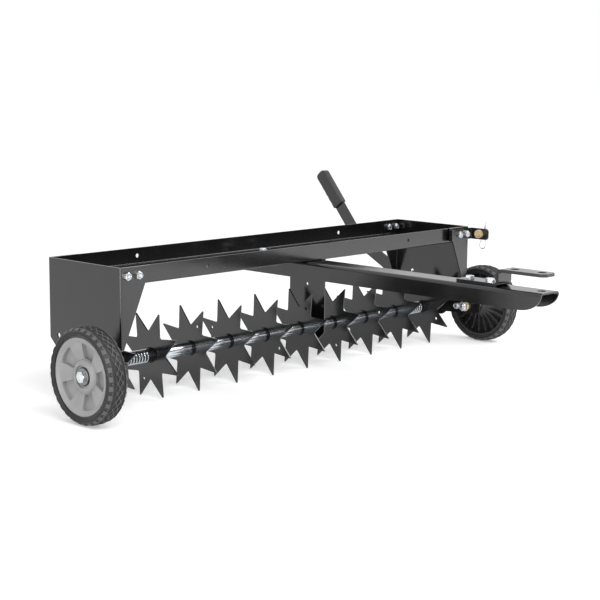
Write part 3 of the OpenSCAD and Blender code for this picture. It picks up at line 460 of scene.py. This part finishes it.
def finish(name, color, second, rough, grain, depth, metallic=0.0, ior=1.5, drift=20.0):
    """A material whose colour and roughness drift between two values, with a fine skin.

    The grain is the scale of its fine part, the scale of its waves and the waves' share.
    """
    fine, wave, share = grain
    material, tree, shader, position = start_material(name)
    look = use_group(tree, uneven, position, Color=(*color, 1), Second_Color=(*second, 1),
                     Smooth=rough[0], Rough=rough[1], Drift_Scale=drift)
    tree.links.new(look.outputs["Color"], shader.inputs["Base Color"])
    tree.links.new(look.outputs["Roughness"], shader.inputs["Roughness"])
    shader.inputs["Metallic"].default_value = metallic
    shader.inputs["IOR"].default_value = ior
    texture = use_group(tree, skin, position, Grain_Scale=fine, Wave_Scale=wave, Wave_Share=share)
    bump(tree, shader, texture.outputs["Height"], depth)
    return material


def make_tube_zinc():
    """Bright zinc with long drawing marks along the tube."""
    material, tree, shader, position = start_material("drawn zinc tube")
    stretch = tree.nodes.new("ShaderNodeMapping")
    stretch.inputs["Scale"].default_value = (5, 260, 260)
    tree.links.new(position, stretch.inputs["Vector"])
    marks = noise(tree, stretch.outputs["Vector"], 1.0, 3, 0.6)
    amount = spread(tree, marks, 0.0, 1.0)
    color = mix_color(tree, amount, (0.52, 0.60, 0.67, 1), (0.93, 0.97, 0.99, 1))
    tree.links.new(color, shader.inputs["Base Color"])
    tree.links.new(spread(tree, marks, 0.32, 0.18), shader.inputs["Roughness"])
    shader.inputs["Metallic"].default_value = 1.0
    bump(tree, shader, marks, 0.00006)
    return material


def make_tyre_rubber():
    """Black rubber whose raised tread lines, found by their distance from the axle, are painted
    lighter: a painted highlight on the ridge tops against the painted shade of the cells between
    them.
    """
    material = finish("tyre rubber", (0.014, 0.014, 0.015), (0.022, 0.022, 0.022), (0.44, 0.58),
                      (700, 160, 0.4), 0.0001, drift=60)
    tree = material.node_tree
    shader = tree.nodes["Principled BSDF"]
    position = tree.nodes["Texture Coordinate"].outputs["Object"]
    split = tree.nodes.new("ShaderNodeSeparateXYZ")
    tree.links.new(position, split.inputs["Vector"])
    across = math_node(tree, "ABSOLUTE", split.outputs["X"], 0)
    across = math_node(tree, "ABSOLUTE", math_node(tree, "SUBTRACT", across, WHEEL_MIDDLE_X), 0)
    fall = math_node(tree, "MAXIMUM", math_node(tree, "SUBTRACT", across, CROWN_FLAT), 0)
    fall = math_node(tree, "MULTIPLY", math_node(tree, "MULTIPLY", fall, fall), CROWN_RATE)
    ahead = math_node(tree, "SUBTRACT", split.outputs["Y"], AXLE_Y)
    above = math_node(tree, "SUBTRACT", split.outputs["Z"], AXLE_Z)
    square = math_node(tree, "ADD", math_node(tree, "MULTIPLY", ahead, ahead),
                       math_node(tree, "MULTIPLY", above, above))
    radius = math_node(tree, "ADD", math_node(tree, "SQRT", square, 0), fall)
    # Painted highlight: the mask picks the raised tread lines, which get a lighter colour for the
    # light that falls on them
    raised = tree.nodes.new("ShaderNodeMapRange")
    raised.inputs["From Min"].default_value = TYRE_R - 1.0 * MM
    raised.inputs["From Max"].default_value = TYRE_R - 0.3 * MM
    tree.links.new(radius, raised.inputs["Value"])
    base = shader.inputs["Base Color"].links[0].from_socket
    # The painted highlight's colour, lighter than the rubber around it
    color = mix_color(tree, raised.outputs["Result"], base, (0.085, 0.085, 0.084, 1))
    tree.links.new(color, shader.inputs["Base Color"])
    return material


METAL_GRAIN = (1500, 300, 0.5)
METAL_DEPTH = 0.00003

black_coat = finish("black powder coat", (0.0045, 0.0045, 0.0048), (0.0062, 0.0061, 0.0062),
                    (0.15, 0.21), (900, 220, 0.6), 0.00006, ior=1.65)
disc_coat = finish("black disc coat", (0.0060, 0.0060, 0.0064), (0.0080, 0.0079, 0.0080),
                   (0.15, 0.21), (800, 160, 0.6), 0.00005, ior=1.65)
zinc = finish("bright zinc", (0.62, 0.65, 0.68), (0.78, 0.80, 0.82),
              (0.24, 0.38), METAL_GRAIN, METAL_DEPTH, metallic=1.0, drift=120)
tube_zinc = make_tube_zinc()
spring_steel = finish("bright spring wire", (0.60, 0.66, 0.72), (0.80, 0.84, 0.88),
                      (0.16, 0.28), METAL_GRAIN, METAL_DEPTH, metallic=1.0, drift=160)
gold_zinc = finish("yellow zinc", (0.66, 0.47, 0.26), (0.86, 0.66, 0.42),
                   (0.34, 0.5), METAL_GRAIN, METAL_DEPTH, metallic=0.45, drift=150)
dull_zinc = finish("dull zinc", (0.20, 0.20, 0.205), (0.30, 0.30, 0.31),
                   (0.36, 0.5), METAL_GRAIN, METAL_DEPTH, metallic=0.9, drift=120)
bare_steel = finish("dark drawn steel", (0.13, 0.13, 0.135), (0.20, 0.20, 0.205),
                    (0.3, 0.42), METAL_GRAIN, METAL_DEPTH, metallic=1.0, drift=80)
tyre_rubber = make_tyre_rubber()
grip_rubber = finish("grip rubber", (0.022, 0.022, 0.023), (0.030, 0.030, 0.030),
                     (0.36, 0.48), (1100, 300, 0.3), 0.00008, drift=50)
rim_plastic = finish("black rim plastic", (0.018, 0.018, 0.019), (0.028, 0.028, 0.028),
                     (0.22, 0.34), (900, 200, 0.4), 0.00006, drift=40)
cover_plastic = finish("grey cover plastic", (0.265, 0.265, 0.265), (0.31, 0.31, 0.308),
                       (0.30, 0.42), (1200, 160, 0.4), 0.00005, drift=30)
bush_nylon = finish("bush nylon", (0.60, 0.59, 0.56), (0.68, 0.67, 0.64),
                    (0.4, 0.5), (1200, 200, 0.4), 0.00005, drift=60)
blue_nylon = finish("blue nut nylon", (0.26, 0.34, 0.44), (0.34, 0.42, 0.52),
                    (0.35, 0.5), (1500, 300, 0.4), 0.00003, drift=150)

SLOT_FINISH = {
    "black_powder_coat": black_coat,
    "zinc_plate": zinc,
    "gold_zinc": gold_zinc,
    "bare_steel": bare_steel,
    "grip_rubber": grip_rubber,
    "tyre_rubber": tyre_rubber,
    "rim_plastic": rim_plastic,
    "cover_plastic": cover_plastic,
    "bush_nylon": bush_nylon,
}

for part in frame["record"]["subparts"]:
    dress(nodes[part["node"]], SLOT_FINISH[part["material_slot"]])


# Sheet metal, bars and mouldings: the CAD form with its sharp edges eased

def eased(node, body, slot_name, material, width, segments=2, edge_angle=28):
    """A copy of a CAD node with its sharp edges rounded a little, as coated edges are."""
    piece = bpy.data.objects.new(node + "_eased", nodes[node].data.copy())
    bpy.context.collection.objects.link(piece)
    clean(piece, ONE_PLANE)
    apply_modifier(piece, "BEVEL", width=width, segments=segments, limit_method="ANGLE",
                   angle_limit=radians(edge_angle), use_clamp_overlap=True)
    smooth(piece)
    apply_modifier(piece, "WEIGHTED_NORMAL", mode="FACE_AREA", weight=100, keep_sharp=True)
    return place(piece, body, slot_name, material, node)


def shorten_nose(arm, by):
    """Draws back the arm's free end past the axle, as the photograph's left arm ends close to it."""
    along = Vector((0, cos(ARM_ANGLE), sin(ARM_ANGLE)))
    shaft = Vector((0, SHAFT_Y, SHAFT_Z))
    axle = (Vector((0, AXLE_Y, AXLE_Z)) - shaft).dot(along)
    for corner in arm.data.vertices:
        if (corner.co - shaft).dot(along) > axle + NOSE_START:
            corner.co -= along * by


def build_sheet_metal():
    for node in ("tray_pan", "left_end_plate", "right_end_plate", "center_hanger"):
        eased(node, "frame", "black_powder_coat", black_coat, SHEET_EDGE)
    eased("drawbar", "frame", "black_powder_coat", black_coat, BAR_EDGE)
    eased("hitch_plate", "frame", "black_powder_coat", black_coat, HITCH_EDGE, 3)
    eased("pin_holder", "frame", "black_powder_coat", black_coat, BAR_EDGE)
    for node in ("left_wheel_arm", "right_wheel_arm", "transport_lever"):
        piece = eased(node, "lift", "black_powder_coat", black_coat, BAR_EDGE)
        if node == "left_wheel_arm":
            shorten_nose(piece, NOSE_CUT)


def build_discs():
    """The discs, each turned half round: its eight teeth stay and its punched hole moves."""
    axis = Matrix.Translation((0, SHAFT_Y, SHAFT_Z))
    half_turn = axis @ Matrix.Rotation(pi, 4, "X") @ axis.inverted()
    for number in range(DISCS):
        disc = eased(f"star_disc_{number}", f"disc_{number}", "black_powder_coat", disc_coat,
                     DISC_EDGE)
        disc.data.transform(half_turn)


# Fasteners: modelled once for each size and copied

def chamfered_hex(name, across, low, high, bore, both):
    """A hexagon whose upper corners, and lower ones if both, are turned off on a 30 degree cone."""
    corner = across / sqrt(3)
    start = across / 2 * CHAMFER_START
    fall = (corner - start) * CHAMFER_SLOPE
    outside = corner * 1.001
    piece = prism(name, 6, corner, low, high)
    rim = [(low, 0), (high, 0), (high, start), (high - fall, outside)]
    if both:
        rim += [(low + fall, outside), (low, start)]
    else:
        rim += [(low, outside)]
    shell = turned("chamfer", rim, 48, "Z")
    cut(piece, shell, "INTERSECT")
    if bore:
        cut(piece, prism("bore", 32, bore / 2, low - MM, high + MM), "DIFFERENCE")
    return piece


def bolt_head(d, across=None, high=None):
    """A hex head whose bearing face is at 0 and whose top looks down -Z, with a washer face."""
    across = across or d * HEX_ACROSS
    high = high or d * HEAD_HIGH
    head = chamfered_hex("head", across, 0.25 * MM, high, 0, False)
    collar_r = across * 0.475
    collar = turned("collar", [(0, 0), (0.3 * MM, 0), (0.3 * MM, collar_r), (0, collar_r)], 40, "Z")
    head = join("head", [head, collar])
    head.data.transform(Matrix.Rotation(pi, 4, "X"))
    smooth(head)
    return head


def thread(d, low, high):
    """The end of a shank from low to high: rings of thread and a chamfered tip."""
    pitch = d * THREAD_PITCH
    root = d / 2 - pitch * 0.42
    crest = d / 2 - 0.02 * MM
    outline = [(low, 0), (low, root)]
    turns = int((high - low - pitch) / pitch)
    for turn in range(turns):
        along = low + pitch * turn
        outline += [(along + pitch * 0.4, crest), (along + pitch * 0.6, crest)]
        outline.append((along + pitch, root))
    outline += [(high - pitch * 0.8, root), (high, root - pitch * 0.6), (high, 0)]
    piece = turned("thread", outline, 28, "Z")
    smooth(piece, 50)
    return piece


def lock_nut(d, across=None, hex_high=None, ring_high=None):
    """A lock nut on 0: its hexagon with the turned-in collar, and its nylon ring."""
    across = across or d * HEX_ACROSS
    hex_high = hex_high or d * NUT_HIGH
    ring_high = ring_high or d * RING_HIGH
    nut = chamfered_hex("nut", across, 0, hex_high, d * 1.02, True)
    outer = across * 0.455
    inner = d * 0.56
    top = hex_high + ring_high
    lip = outer * 0.8
    collar = turned("collar", [
        (hex_high - 0.4 * MM, inner), (hex_high - 0.4 * MM, outer),
        (top - ring_high * 0.45, outer * 0.985), (top - ring_high * 0.12, outer * 0.93),
        (top, outer * 0.84), (top - ring_high * 0.1, lip), (top - ring_high * 0.35, lip),
        (hex_high, lip), (hex_high, inner)], 40, "Z")
    nut = join("nut", [nut, collar])
    smooth(nut)
    ring = turned("ring", [
        (hex_high, d * 0.505), (top - ring_high * 0.3, d * 0.505), (top - ring_high * 0.16, inner),
        (top - ring_high * 0.16, outer * 0.79), (hex_high, outer * 0.79)], 36, "Z")
    smooth(ring, 40)
    return nut, ring


def plain_shank(d, low, high):
    return turned("shank", [(low, 0), (low, d / 2), (high, d / 2), (high, 0)], 28, "Z")


class Bolts:
    """Bolts of one size with their nuts, gathered at the places where they belong."""

    def __init__(self, d, across=None, high=None):
        self.d = d
        self.head = bolt_head(d, across, high)
        self.nut, self.ring = lock_nut(d)
        self.metal = []
        self.rings = []

    def add(self, origin, direction, grip, past, twist=None):
        """The head bears at the origin, the nut after the grip, and the shank goes on past it."""
        put = looking(direction, origin)
        nut_top = grip + self.d * (NUT_HIGH + RING_HIGH)
        shank = plain_shank(self.d, 0, grip + 0.2 * MM)
        tip = thread(self.d, grip + 0.2 * MM, max(grip + past, nut_top - self.d * 0.2))
        put_nut = put @ Matrix.Translation((0, 0, grip))
        turn = Matrix.Rotation(0.4 + 1.7 * len(self.metal), 4, "Z")
        twist = turn.inverted() if twist is None else Matrix.Rotation(twist, 4, "Z")
        self.metal += [copy_of(self.head, put @ turn), copy_of(shank, put), copy_of(tip, put),
                       copy_of(self.nut, put_nut @ twist)]
        self.rings.append(copy_of(self.ring, put_nut))
        drop(shank, tip)

    def finish(self, name, body, *replaced):
        place(join(name, self.metal), body, "zinc_plate", zinc, *replaced)
        place(join(name + "_rings", self.rings), body, "bush_nylon", blue_nylon)
        drop(self.head, self.nut, self.ring)


def build_frame_bolts():
    corners = Bolts(M8)
    stack = PLATE_T + SHEET_T
    for side in (-1, 1):
        for number, inward in enumerate(CORNER_BOLT_IN):
            x = side * (FRAME_HALF - inward)
            front = (x, TRAY_MIDDLE_Y - WALL_Y + SHEET_T, BOLT_Z)
            rear = (x, TRAY_MIDDLE_Y + WALL_Y + PLATE_T, BOLT_Z)
            pin_holder_t = PLATE_T if side > 0 else 0
            corners.add(front, -Y, stack + pin_holder_t, past=8 * MM, twist=0.1 - 0.25 * number)
            corners.add(rear, -Y, stack, past=8 * MM)
    corners.finish("corner_bolts", "frame", "tray_corner_bolts")

    hanger = Bolts(M8)
    for y in (SHAFT_Y - HANGER_BOLT_OFF, SHAFT_Y + HANGER_BOLT_OFF):
        hanger.add((HANGER_BOLT_X, y, FLOOR_Z - PLATE_T), Z, stack, past=8 * MM)
    hanger.finish("hanger_fasteners", "frame", "hanger_bolts")

    drawbar = Bolts(M10)
    for y in DRAWBAR_BOLTS:
        under = (0, TRAY_MIDDLE_Y + y, FLOOR_Z - DRAWBAR_T)
        drawbar.add(under, Z, DRAWBAR_T + SHEET_T, past=9 * MM)
    drawbar.finish("drawbar_fasteners", "frame", "drawbar_bolts")

    hitch = Bolts(M10, *HITCH_HEAD)
    for y in HITCH_BOLTS:
        over = (0, FRONT_Y + y, FLOOR_Z + HITCH_T)
        hitch.add(over, -Z, HITCH_T + DRAWBAR_T, past=10.5 * MM)
    hitch.finish("hitch_fasteners", "frame", "hitch_plate_bolts")


def on_arm(side, x, along, angle=ARM_ANGLE):
    """A place on the wheel arm or lever: x from the middle, along from the shaft."""
    return Vector((side * x, SHAFT_Y + along * cos(angle), SHAFT_Z + along * sin(angle)))


def across_wheel(side):
    """Turns a piece drawn along +Z from the wheel's inner side into its place on one side."""
    return Matrix(((0, 0, side, side * WHEEL_INNER_X), (side, 0, 0, AXLE_Y), (0, 1, 0, AXLE_Z),
                   (0, 0, 0, 1)))


def build_arm_bolts():
    arms = Bolts(M8)
    arms.add(on_arm(1, ARM_X + 2 * ARM_T, ARM_BOLT_IN), -X, 2 * ARM_T, past=7.8 * MM)
    arms.add(on_arm(-1, ARM_X + ARM_T, ARM_BOLT_IN), X, ARM_T, past=7.8 * MM)
    arms.finish("arm_fasteners", "lift", "arm_bolts")

    stud = bolt_head(M8)
    pin = turned("pin", in_mm(LOCK_PIN), 28, "Z")
    origin = on_arm(1, ARM_X + 2 * ARM_T, LOCK_R, LEVER_ANGLE)
    stud.data.transform(looking(-X, origin))
    pin.data.transform(looking(-X, origin))
    smooth(pin, 35)
    place(join("lock_stud", [stud, pin]), "lift", "zinc_plate", zinc, "lever_lock_stud")

    nut = chamfered_hex("nut", SHAFT_HEX, 0, SHAFT_NUT_HIGH, SHAFT_THREAD, True)
    smooth(nut)
    right = copy_of(nut, looking(X, on_arm(1, ARM_X + 2 * ARM_T, 0)))
    left = copy_of(nut, looking(-X, on_arm(-1, ARM_X + ARM_T, 0)))
    drop(nut)
    place(join("shaft_nuts", [right, left]), "lift", "zinc_plate", zinc, "shaft_end_nuts")


def build_axle_bolt(side, name):
    """The axle bolt, drawn along +Z from the wheel's inner side and then put on its side."""
    head_z = HEAD_WASHER[-1][0] * MM
    nut_z = ARM_X - WHEEL_INNER_X - AXLE_WASHER_T
    label = name + "_axle_fastener"
    head = bolt_head(AXLE_D, AXLE_HEX, AXLE_HEAD_HIGH)
    over = Matrix.Rotation(pi, 4, "X")
    head.data.transform(over @ Matrix.Rotation(0.35, 4, "Z"))
    head.data.transform(Matrix.Translation((0, 0, head_z)))
    shank = plain_shank(AXLE_D, nut_z, head_z + 0.1 * MM)
    tip = thread(AXLE_D, -nut_z, AXLE_PAST - nut_z)
    tip.data.transform(over)
    washer = turned("washer", in_mm(HEAD_WASHER), 40, "Z")
    smooth(washer, 35)
    nut, ring = lock_nut(AXLE_D, AXLE_HEX, *AXLE_NUT)
    put_nut = Matrix.Translation((0, 0, nut_z)) @ over
    nut.data.transform(put_nut)
    ring.data.transform(put_nut)
    metal = join(label, [head, shank, tip, nut])
    for piece in (metal, ring, washer):
        piece.data.transform(across_wheel(side))
    washer.name = label + "_washer"
    place(washer, "lift", "zinc_plate", dull_zinc)
    ring.name = label + "_ring"
    place(metal, "lift", "zinc_plate", zinc, name + "_axle_bolt")
    place(ring, "lift", "bush_nylon", blue_nylon)


# Wheels

def tyre_section():
    """Half of the tyre's section as (across, radius): bead, side rings, shoulder and tread."""
    half = TYRE_W / 2
    bead = RIM_R + 0.1 * MM
    return [
        (half - 4 * MM, bead),
        (half - 2.6 * MM, bead + 0.6 * MM), (half - 2.3 * MM, bead + 1.9 * MM),
        (half - 1.1 * MM, bead + 2.3 * MM), (half - 0.9 * MM, bead + 4.0 * MM),
        (half - 1.9 * MM, bead + 4.4 * MM), (half - 1.7 * MM, bead + 5.6 * MM),
        (half - 0.3 * MM, bead + 6.1 * MM), (half - 0.1 * MM, bead + 7.4 * MM),
        (half - 1.6 * MM, TYRE_R - 5.9 * MM), (half - 4.2 * MM, TYRE_R - 4.3 * MM),
        (half - 8.0 * MM, TYRE_R - 2.9 * MM), (half - 13.0 * MM, TYRE_R - 1.9 * MM),
    ]


def crown(across):
    """How far the tread falls away from the tyre's full radius at a distance from its middle."""
    return CROWN_RATE * max(abs(across) - CROWN_FLAT, 0) ** 2


def lay_on_tread(piece):
    """Lowers a piece drawn on the tyre's top to the tread's fall and to its roundness."""
    for corner in piece.data.vertices:
        corner.co.z -= crown(corner.co.x) + corner.co.y ** 2 / (2 * TYRE_R)


def tread_rib(start, end):
    """A raised line on the tread from one (across, angle) to another, near the top of the tyre."""
    middle_angle = (start[1] + end[1]) / 2
    run = (end[1] - start[1]) * TYRE_R
    across = end[0] - start[0]
    middle = ((start[0] + end[0]) / 2, 0, TYRE_R - RIB_HIGH / 2 - RIB_ROOT / 2)
    rib = block("rib", (RIB_WIDE, hypot(run, across), RIB_HIGH + RIB_ROOT), middle,
                atan2(-across, run))
    apply_modifier(rib, "BEVEL", width=0.3 * MM, segments=1)
    lay_on_tread(rib)
    rib.data.transform(Matrix.Rotation(-middle_angle, 4, "X"))
    return rib


def shoulder_block(side, angle):
    """A block that lies over the tyre's shoulder."""
    middle = TYRE_W / 2 - SHOULDER_IN - SHOULDER_WIDE / 2
    piece = block("shoulder", (SHOULDER_WIDE, SHOULDER_LONG, SHOULDER_TALL),
                  (side * middle, 0, TYRE_R - SHOULDER_TALL / 2 + SHOULDER_PROUD))
    lay_on_tread(piece)
    apply_modifier(piece, "BEVEL", width=0.35 * MM, segments=1)
    piece.data.transform(Matrix.Rotation(-angle, 4, "X"))
    return piece


def build_tyres():
    half_section = tyre_section()
    outline = half_section + [(-across, radius) for across, radius in reversed(half_section)]
    body = turned("tyre", outline, 132)
    step = 2 * pi / TREAD_REPEATS
    lane = (TYRE_W / 2 - 5 * MM) * 2 / 3
    tile = []
    for low in (-1.5 * lane, -0.5 * lane, 0.5 * lane):
        tile.append(tread_rib((low, 0), (low + lane, step)))
        tile.append(tread_rib((low + lane, 0), (low, step)))
    for side in (-1, 1):
        tile.append(shoulder_block(side, step * 0.5))
    tile = join("tread", tile)
    tread = [copy_of(tile, Matrix.Rotation(step * turn, 4, "X")) for turn in range(TREAD_REPEATS)]
    drop(tile)
    tyre = join("tyre", [body] + tread)
    smooth(tyre)
    for side, name in ((-1, "left"), (1, "right")):
        twin = copy_of(tyre, Matrix.Translation((side * WHEEL_MIDDLE_X, AXLE_Y, AXLE_Z)))
        twin.name = name + "_tread_tyre"
        place(twin, name + "_wheel", "tyre_rubber", tyre_rubber, name + "_tyre")
    drop(tyre)


def build_cover(side, name):
    """The cover with its eased edges, and the face of its hub behind the axle's washer."""
    wheel = name + "_wheel"
    eased(name + "_wheel_cover", wheel, "cover_plastic", cover_plastic, COVER_EDGE, 3, 20)
    face = turned("hub_face", in_mm(HUB_FACE), 64, "Z")
    face.data.transform(across_wheel(side))
    smooth(face)
    face.name = name + "_hub_face"
    place(face, wheel, "cover_plastic", cover_plastic)


def build_wheels():
    build_tyres()
    for side, name in ((-1, "left"), (1, "right")):
        eased(name + "_rim", name + "_wheel", "rim_plastic", rim_plastic, TURNED_EDGE)
        build_cover(side, name)
        build_axle_bolt(side, name)


# Springs, clip, pin and grip

def spring(name, node):
    """A coil of round wire from end to end of its CAD node, with its two ends closed."""
    low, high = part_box(node)
    radius = (high.z - low.z) / 2 - SPRING_WIRE / 2
    total = high.x - low.x - SPRING_WIRE
    steps = 26 * SPRING_TURNS
    bpy.ops.object.select_all(action="DESELECT")
    bpy.ops.mesh.primitive_circle_add(vertices=12, radius=SPRING_WIRE / 2, location=(0, 0, radius),
                                      fill_type="NOTHING")
    piece = bpy.context.object
    bpy.ops.object.mode_set(mode="EDIT")
    bpy.ops.mesh.select_all(action="SELECT")
    bpy.ops.transform.rotate(value=pi / 2, orient_axis="X", center_override=(0, 0, radius))
    bpy.ops.object.mode_set(mode="OBJECT")
    seat(piece)
    apply_modifier(piece, "SCREW", axis="X", angle=2 * pi * SPRING_TURNS, screw_offset=total,
                   steps=steps, render_steps=steps, use_smooth_shade=True)
    bpy.ops.object.mode_set(mode="EDIT")
    bpy.ops.mesh.select_all(action="DESELECT")
    bpy.ops.mesh.select_non_manifold()
    bpy.ops.mesh.edge_face_add()
    bpy.ops.object.mode_set(mode="OBJECT")
    clean(piece)
    piece.name = name
    piece.data.transform(Matrix.Translation((low.x + SPRING_WIRE / 2, SHAFT_Y, SHAFT_Z)))
    smooth(piece, 50)
    place(piece, "lift", "zinc_plate", spring_steel, node)


def clip_points():
    """The clip's middle line as (along Y, along Z) from the pin's axis, in millimetres."""
    pin_d, loop, long = 12.7, 16, 62
    low = -pin_d / 2 - loop * 1.35
    top = low + long - loop / 2
    bow = pin_d / 2 + CLIP_WIRE / 2 + 0.4
    line = [(0, top), (0, top / 2), (0, 0), (0, low / 2)]
    for step in range(13):
        angle = pi * step / 12
        line.append((loop / 2 - loop / 2 * cos(angle), low - loop / 2 * sin(angle)))
    line.append((loop * 0.86, low * 0.72))
    for step in range(9):
        angle = radians(-50 + 12.5 * step)
        line.append((bow * cos(angle), bow * sin(angle)))
    return line + [(bow * 0.5, bow * 1.25), (bow * 0.42, bow * 1.8), (bow * 0.8, bow * 2.3)]


def build_clip():
    """The hairpin clip: a round wire along a smooth line, drawn as a curve and then made a mesh."""
    low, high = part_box("hairpin_clip")
    pin_low, pin_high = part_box("hitch_pin")
    middle_x = (low.x + high.x) / 2
    middle_y = (pin_low.y + pin_high.y) / 2
    bpy.ops.object.select_all(action="DESELECT")
    bpy.ops.curve.primitive_nurbs_path_add()
    line = bpy.context.object
    line.data.splines.clear()
    spline = line.data.splines.new("POLY")
    points = clip_points()
    spline.points.add(len(points) - 1)
    for point, (along, up) in zip(spline.points, points):
        point.co = (middle_x, middle_y + along * MM, BOLT_Z + up * MM, 1)
    line.data.bevel_depth = CLIP_WIRE / 2 * MM
    line.data.bevel_resolution = 4
    line.data.use_fill_caps = True
    only(line)
    bpy.ops.object.convert(target="MESH")
    clip = bpy.context.object
    clip.name = "clip_wire"
    clean(clip)
    smooth(clip, 60)
    place(clip, "frame", "zinc_plate", zinc, "hairpin_clip")


def build_grip():
    """The grip: the CAD form melted to a soft moulding."""
    grip = bpy.data.objects.new("moulded_grip", nodes["lever_grip"].data.copy())
    bpy.context.collection.objects.link(grip)
    clean(grip, ONE_PLANE)
    apply_modifier(grip, "REMESH", mode="VOXEL", voxel_size=GRIP_VOXEL, use_smooth_shade=True)
    apply_modifier(grip, "SMOOTH", factor=0.5, iterations=9)
    only(grip)
    bpy.ops.object.shade_smooth()
    place(grip, "lift", "grip_rubber", grip_rubber, "lever_grip")


def build_small_pieces():
    spring("left_coil", "left_spring")
    spring("right_coil", "right_spring")
    build_clip()
    eased("hitch_pin", "frame", "gold_zinc", gold_zinc, PIN_EDGE, 3)
    build_grip()
    eased("disc_shaft", "lift", "bare_steel", bare_steel, TURNED_EDGE)
    for name in ("left_axle_sleeve", "right_axle_sleeve"):
        eased(name, "lift", "zinc_plate", zinc, TURNED_EDGE)
    eased("axle_washers", "lift", "gold_zinc", gold_zinc, WASHER_EDGE)
    eased("end_spacers", "lift", "zinc_plate", tube_zinc, TURNED_EDGE)
    for number, disc in enumerate(TUBE_DISCS, 1):
        eased(f"spacer_tube_{number}", f"disc_{disc}", "zinc_plate", tube_zinc, TURNED_EDGE)


# Studio

def make_camera():
    azimuth, elevation, roll = (radians(a) for a in (CAMERA_AZIMUTH, CAMERA_ELEVATION, CAMERA_ROLL))
    back = Vector((sin(azimuth) * cos(elevation), -cos(azimuth) * cos(elevation), sin(elevation)))
    level = Vector((cos(azimuth), sin(azimuth), 0))
    above = back.cross(level)
    right = level * cos(roll) + above * sin(roll)
    up = -level * sin(roll) + above * cos(roll)
    data = bpy.data.cameras.new("camera")
    data.lens = CAMERA_LENS
    data.sensor_width = CAMERA_SENSOR
    camera = bpy.data.objects.new("camera", data)
    camera.matrix_world = Matrix.Translation(CAMERA_PLACE) @ Matrix(
        (right, up, back)).transposed().to_4x4()
    bpy.context.collection.objects.link(camera)
    bpy.context.scene.camera = camera


def add_softbox(name, spot, target, size, power):
    data = bpy.data.lights.new(name, "AREA")
    data.shape = "RECTANGLE"
    data.size, data.size_y = size
    data.energy = power
    lamp = bpy.data.objects.new(name, data)
    lamp.location = spot
    lamp.rotation_euler = (Vector(target) - Vector(spot)).to_track_quat("-Z", "Y").to_euler()
    bpy.context.collection.objects.link(lamp)


def seen_straight(tree, path):
    """Whether a ray comes from the camera or shows in gloss or glass."""
    value = path.outputs["Is Camera Ray"]
    for label in ("Is Glossy Ray", "Is Transmission Ray"):
        value = math_node(tree, "MAXIMUM", value, path.outputs[label])
    return value


def smooth_step(tree, value, low, high):
    node = tree.nodes.new("ShaderNodeMapRange")
    node.interpolation_type = "SMOOTHSTEP"
    node.inputs["From Min"].default_value = low
    node.inputs["From Max"].default_value = high
    tree.links.new(value, node.inputs["Value"])
    return node.outputs["Result"]


def make_world():
    """A white studio whose front side is darker near the ground, for all but the camera."""
    world = bpy.data.worlds.new("studio")
    bpy.context.scene.world = world
    world.use_nodes = True
    tree = world.node_tree
    shader = tree.nodes["Background"]
    path = tree.nodes.new("ShaderNodeLightPath")
    seen = seen_straight(tree, path)
    strength = tree.nodes.new("ShaderNodeMapRange")
    strength.inputs["To Min"].default_value = MATT_SHARE
    strength.inputs["To Max"].default_value = 1.0
    tree.links.new(seen, strength.inputs["Value"])
    direction = tree.nodes.new("ShaderNodeTexCoord").outputs["Generated"]
    split = tree.nodes.new("ShaderNodeSeparateXYZ")
    tree.links.new(direction, split.inputs["Vector"])
    front = smooth_step(tree, math_node(tree, "MULTIPLY", split.outputs["Y"], -1), 0.1, 0.6)
    low = math_node(tree, "SUBTRACT", 1, smooth_step(tree, split.outputs["Z"], 0.15, 0.5))
    dim = math_node(tree, "MULTIPLY", math_node(tree, "MULTIPLY", front, low), FRONT_DIM)
    hidden = math_node(tree, "SUBTRACT", 1, path.outputs["Is Camera Ray"])
    dim = math_node(tree, "SUBTRACT", 1, math_node(tree, "MULTIPLY", dim, hidden))
    level = math_node(tree, "MULTIPLY", strength.outputs["Result"], dim)
    tree.links.new(level, shader.inputs["Strength"])
    shader.inputs["Color"].default_value = (1, 1, 1, 1)


def make_floor():
    """A sheet of white paper that glows for the camera and keeps the machine's shadow."""
    bpy.ops.object.select_all(action="DESELECT")
    bpy.ops.mesh.primitive_plane_add(size=60, location=(0, 0, 0))
    floor = bpy.context.object
    floor.name = "studio_floor"
    material, tree, shader, position = start_material("floor paper")
    shader.inputs["Base Color"].default_value = (0.80, 0.80, 0.80, 1)
    shader.inputs["Roughness"].default_value = 0.9
    seen = seen_straight(tree, tree.nodes.new("ShaderNodeLightPath"))
    away = tree.nodes.new("ShaderNodeVectorMath")
    away.operation = "LENGTH"
    tree.links.new(position, away.inputs[0])
    far = smooth_step(tree, away.outputs["Value"], 1.0, 4.0)
    level = math_node(tree, "ADD", math_node(tree, "MULTIPLY", far, FAR_GLOW), PAPER_GLOW)
    tree.links.new(math_node(tree, "MULTIPLY", seen, level), shader.inputs["Emission Strength"])
    shader.inputs["Emission Color"].default_value = (1, 1, 1, 1)
    dress(floor, material)


make_camera()
build_sheet_metal()
build_discs()
build_frame_bolts()
build_arm_bolts()
build_wheels()
build_small_pieces()
make_world()
make_floor()
for softbox in SOFTBOXES:
    add_softbox(*softbox)

bpy.context.scene.view_settings.view_transform = "Standard"
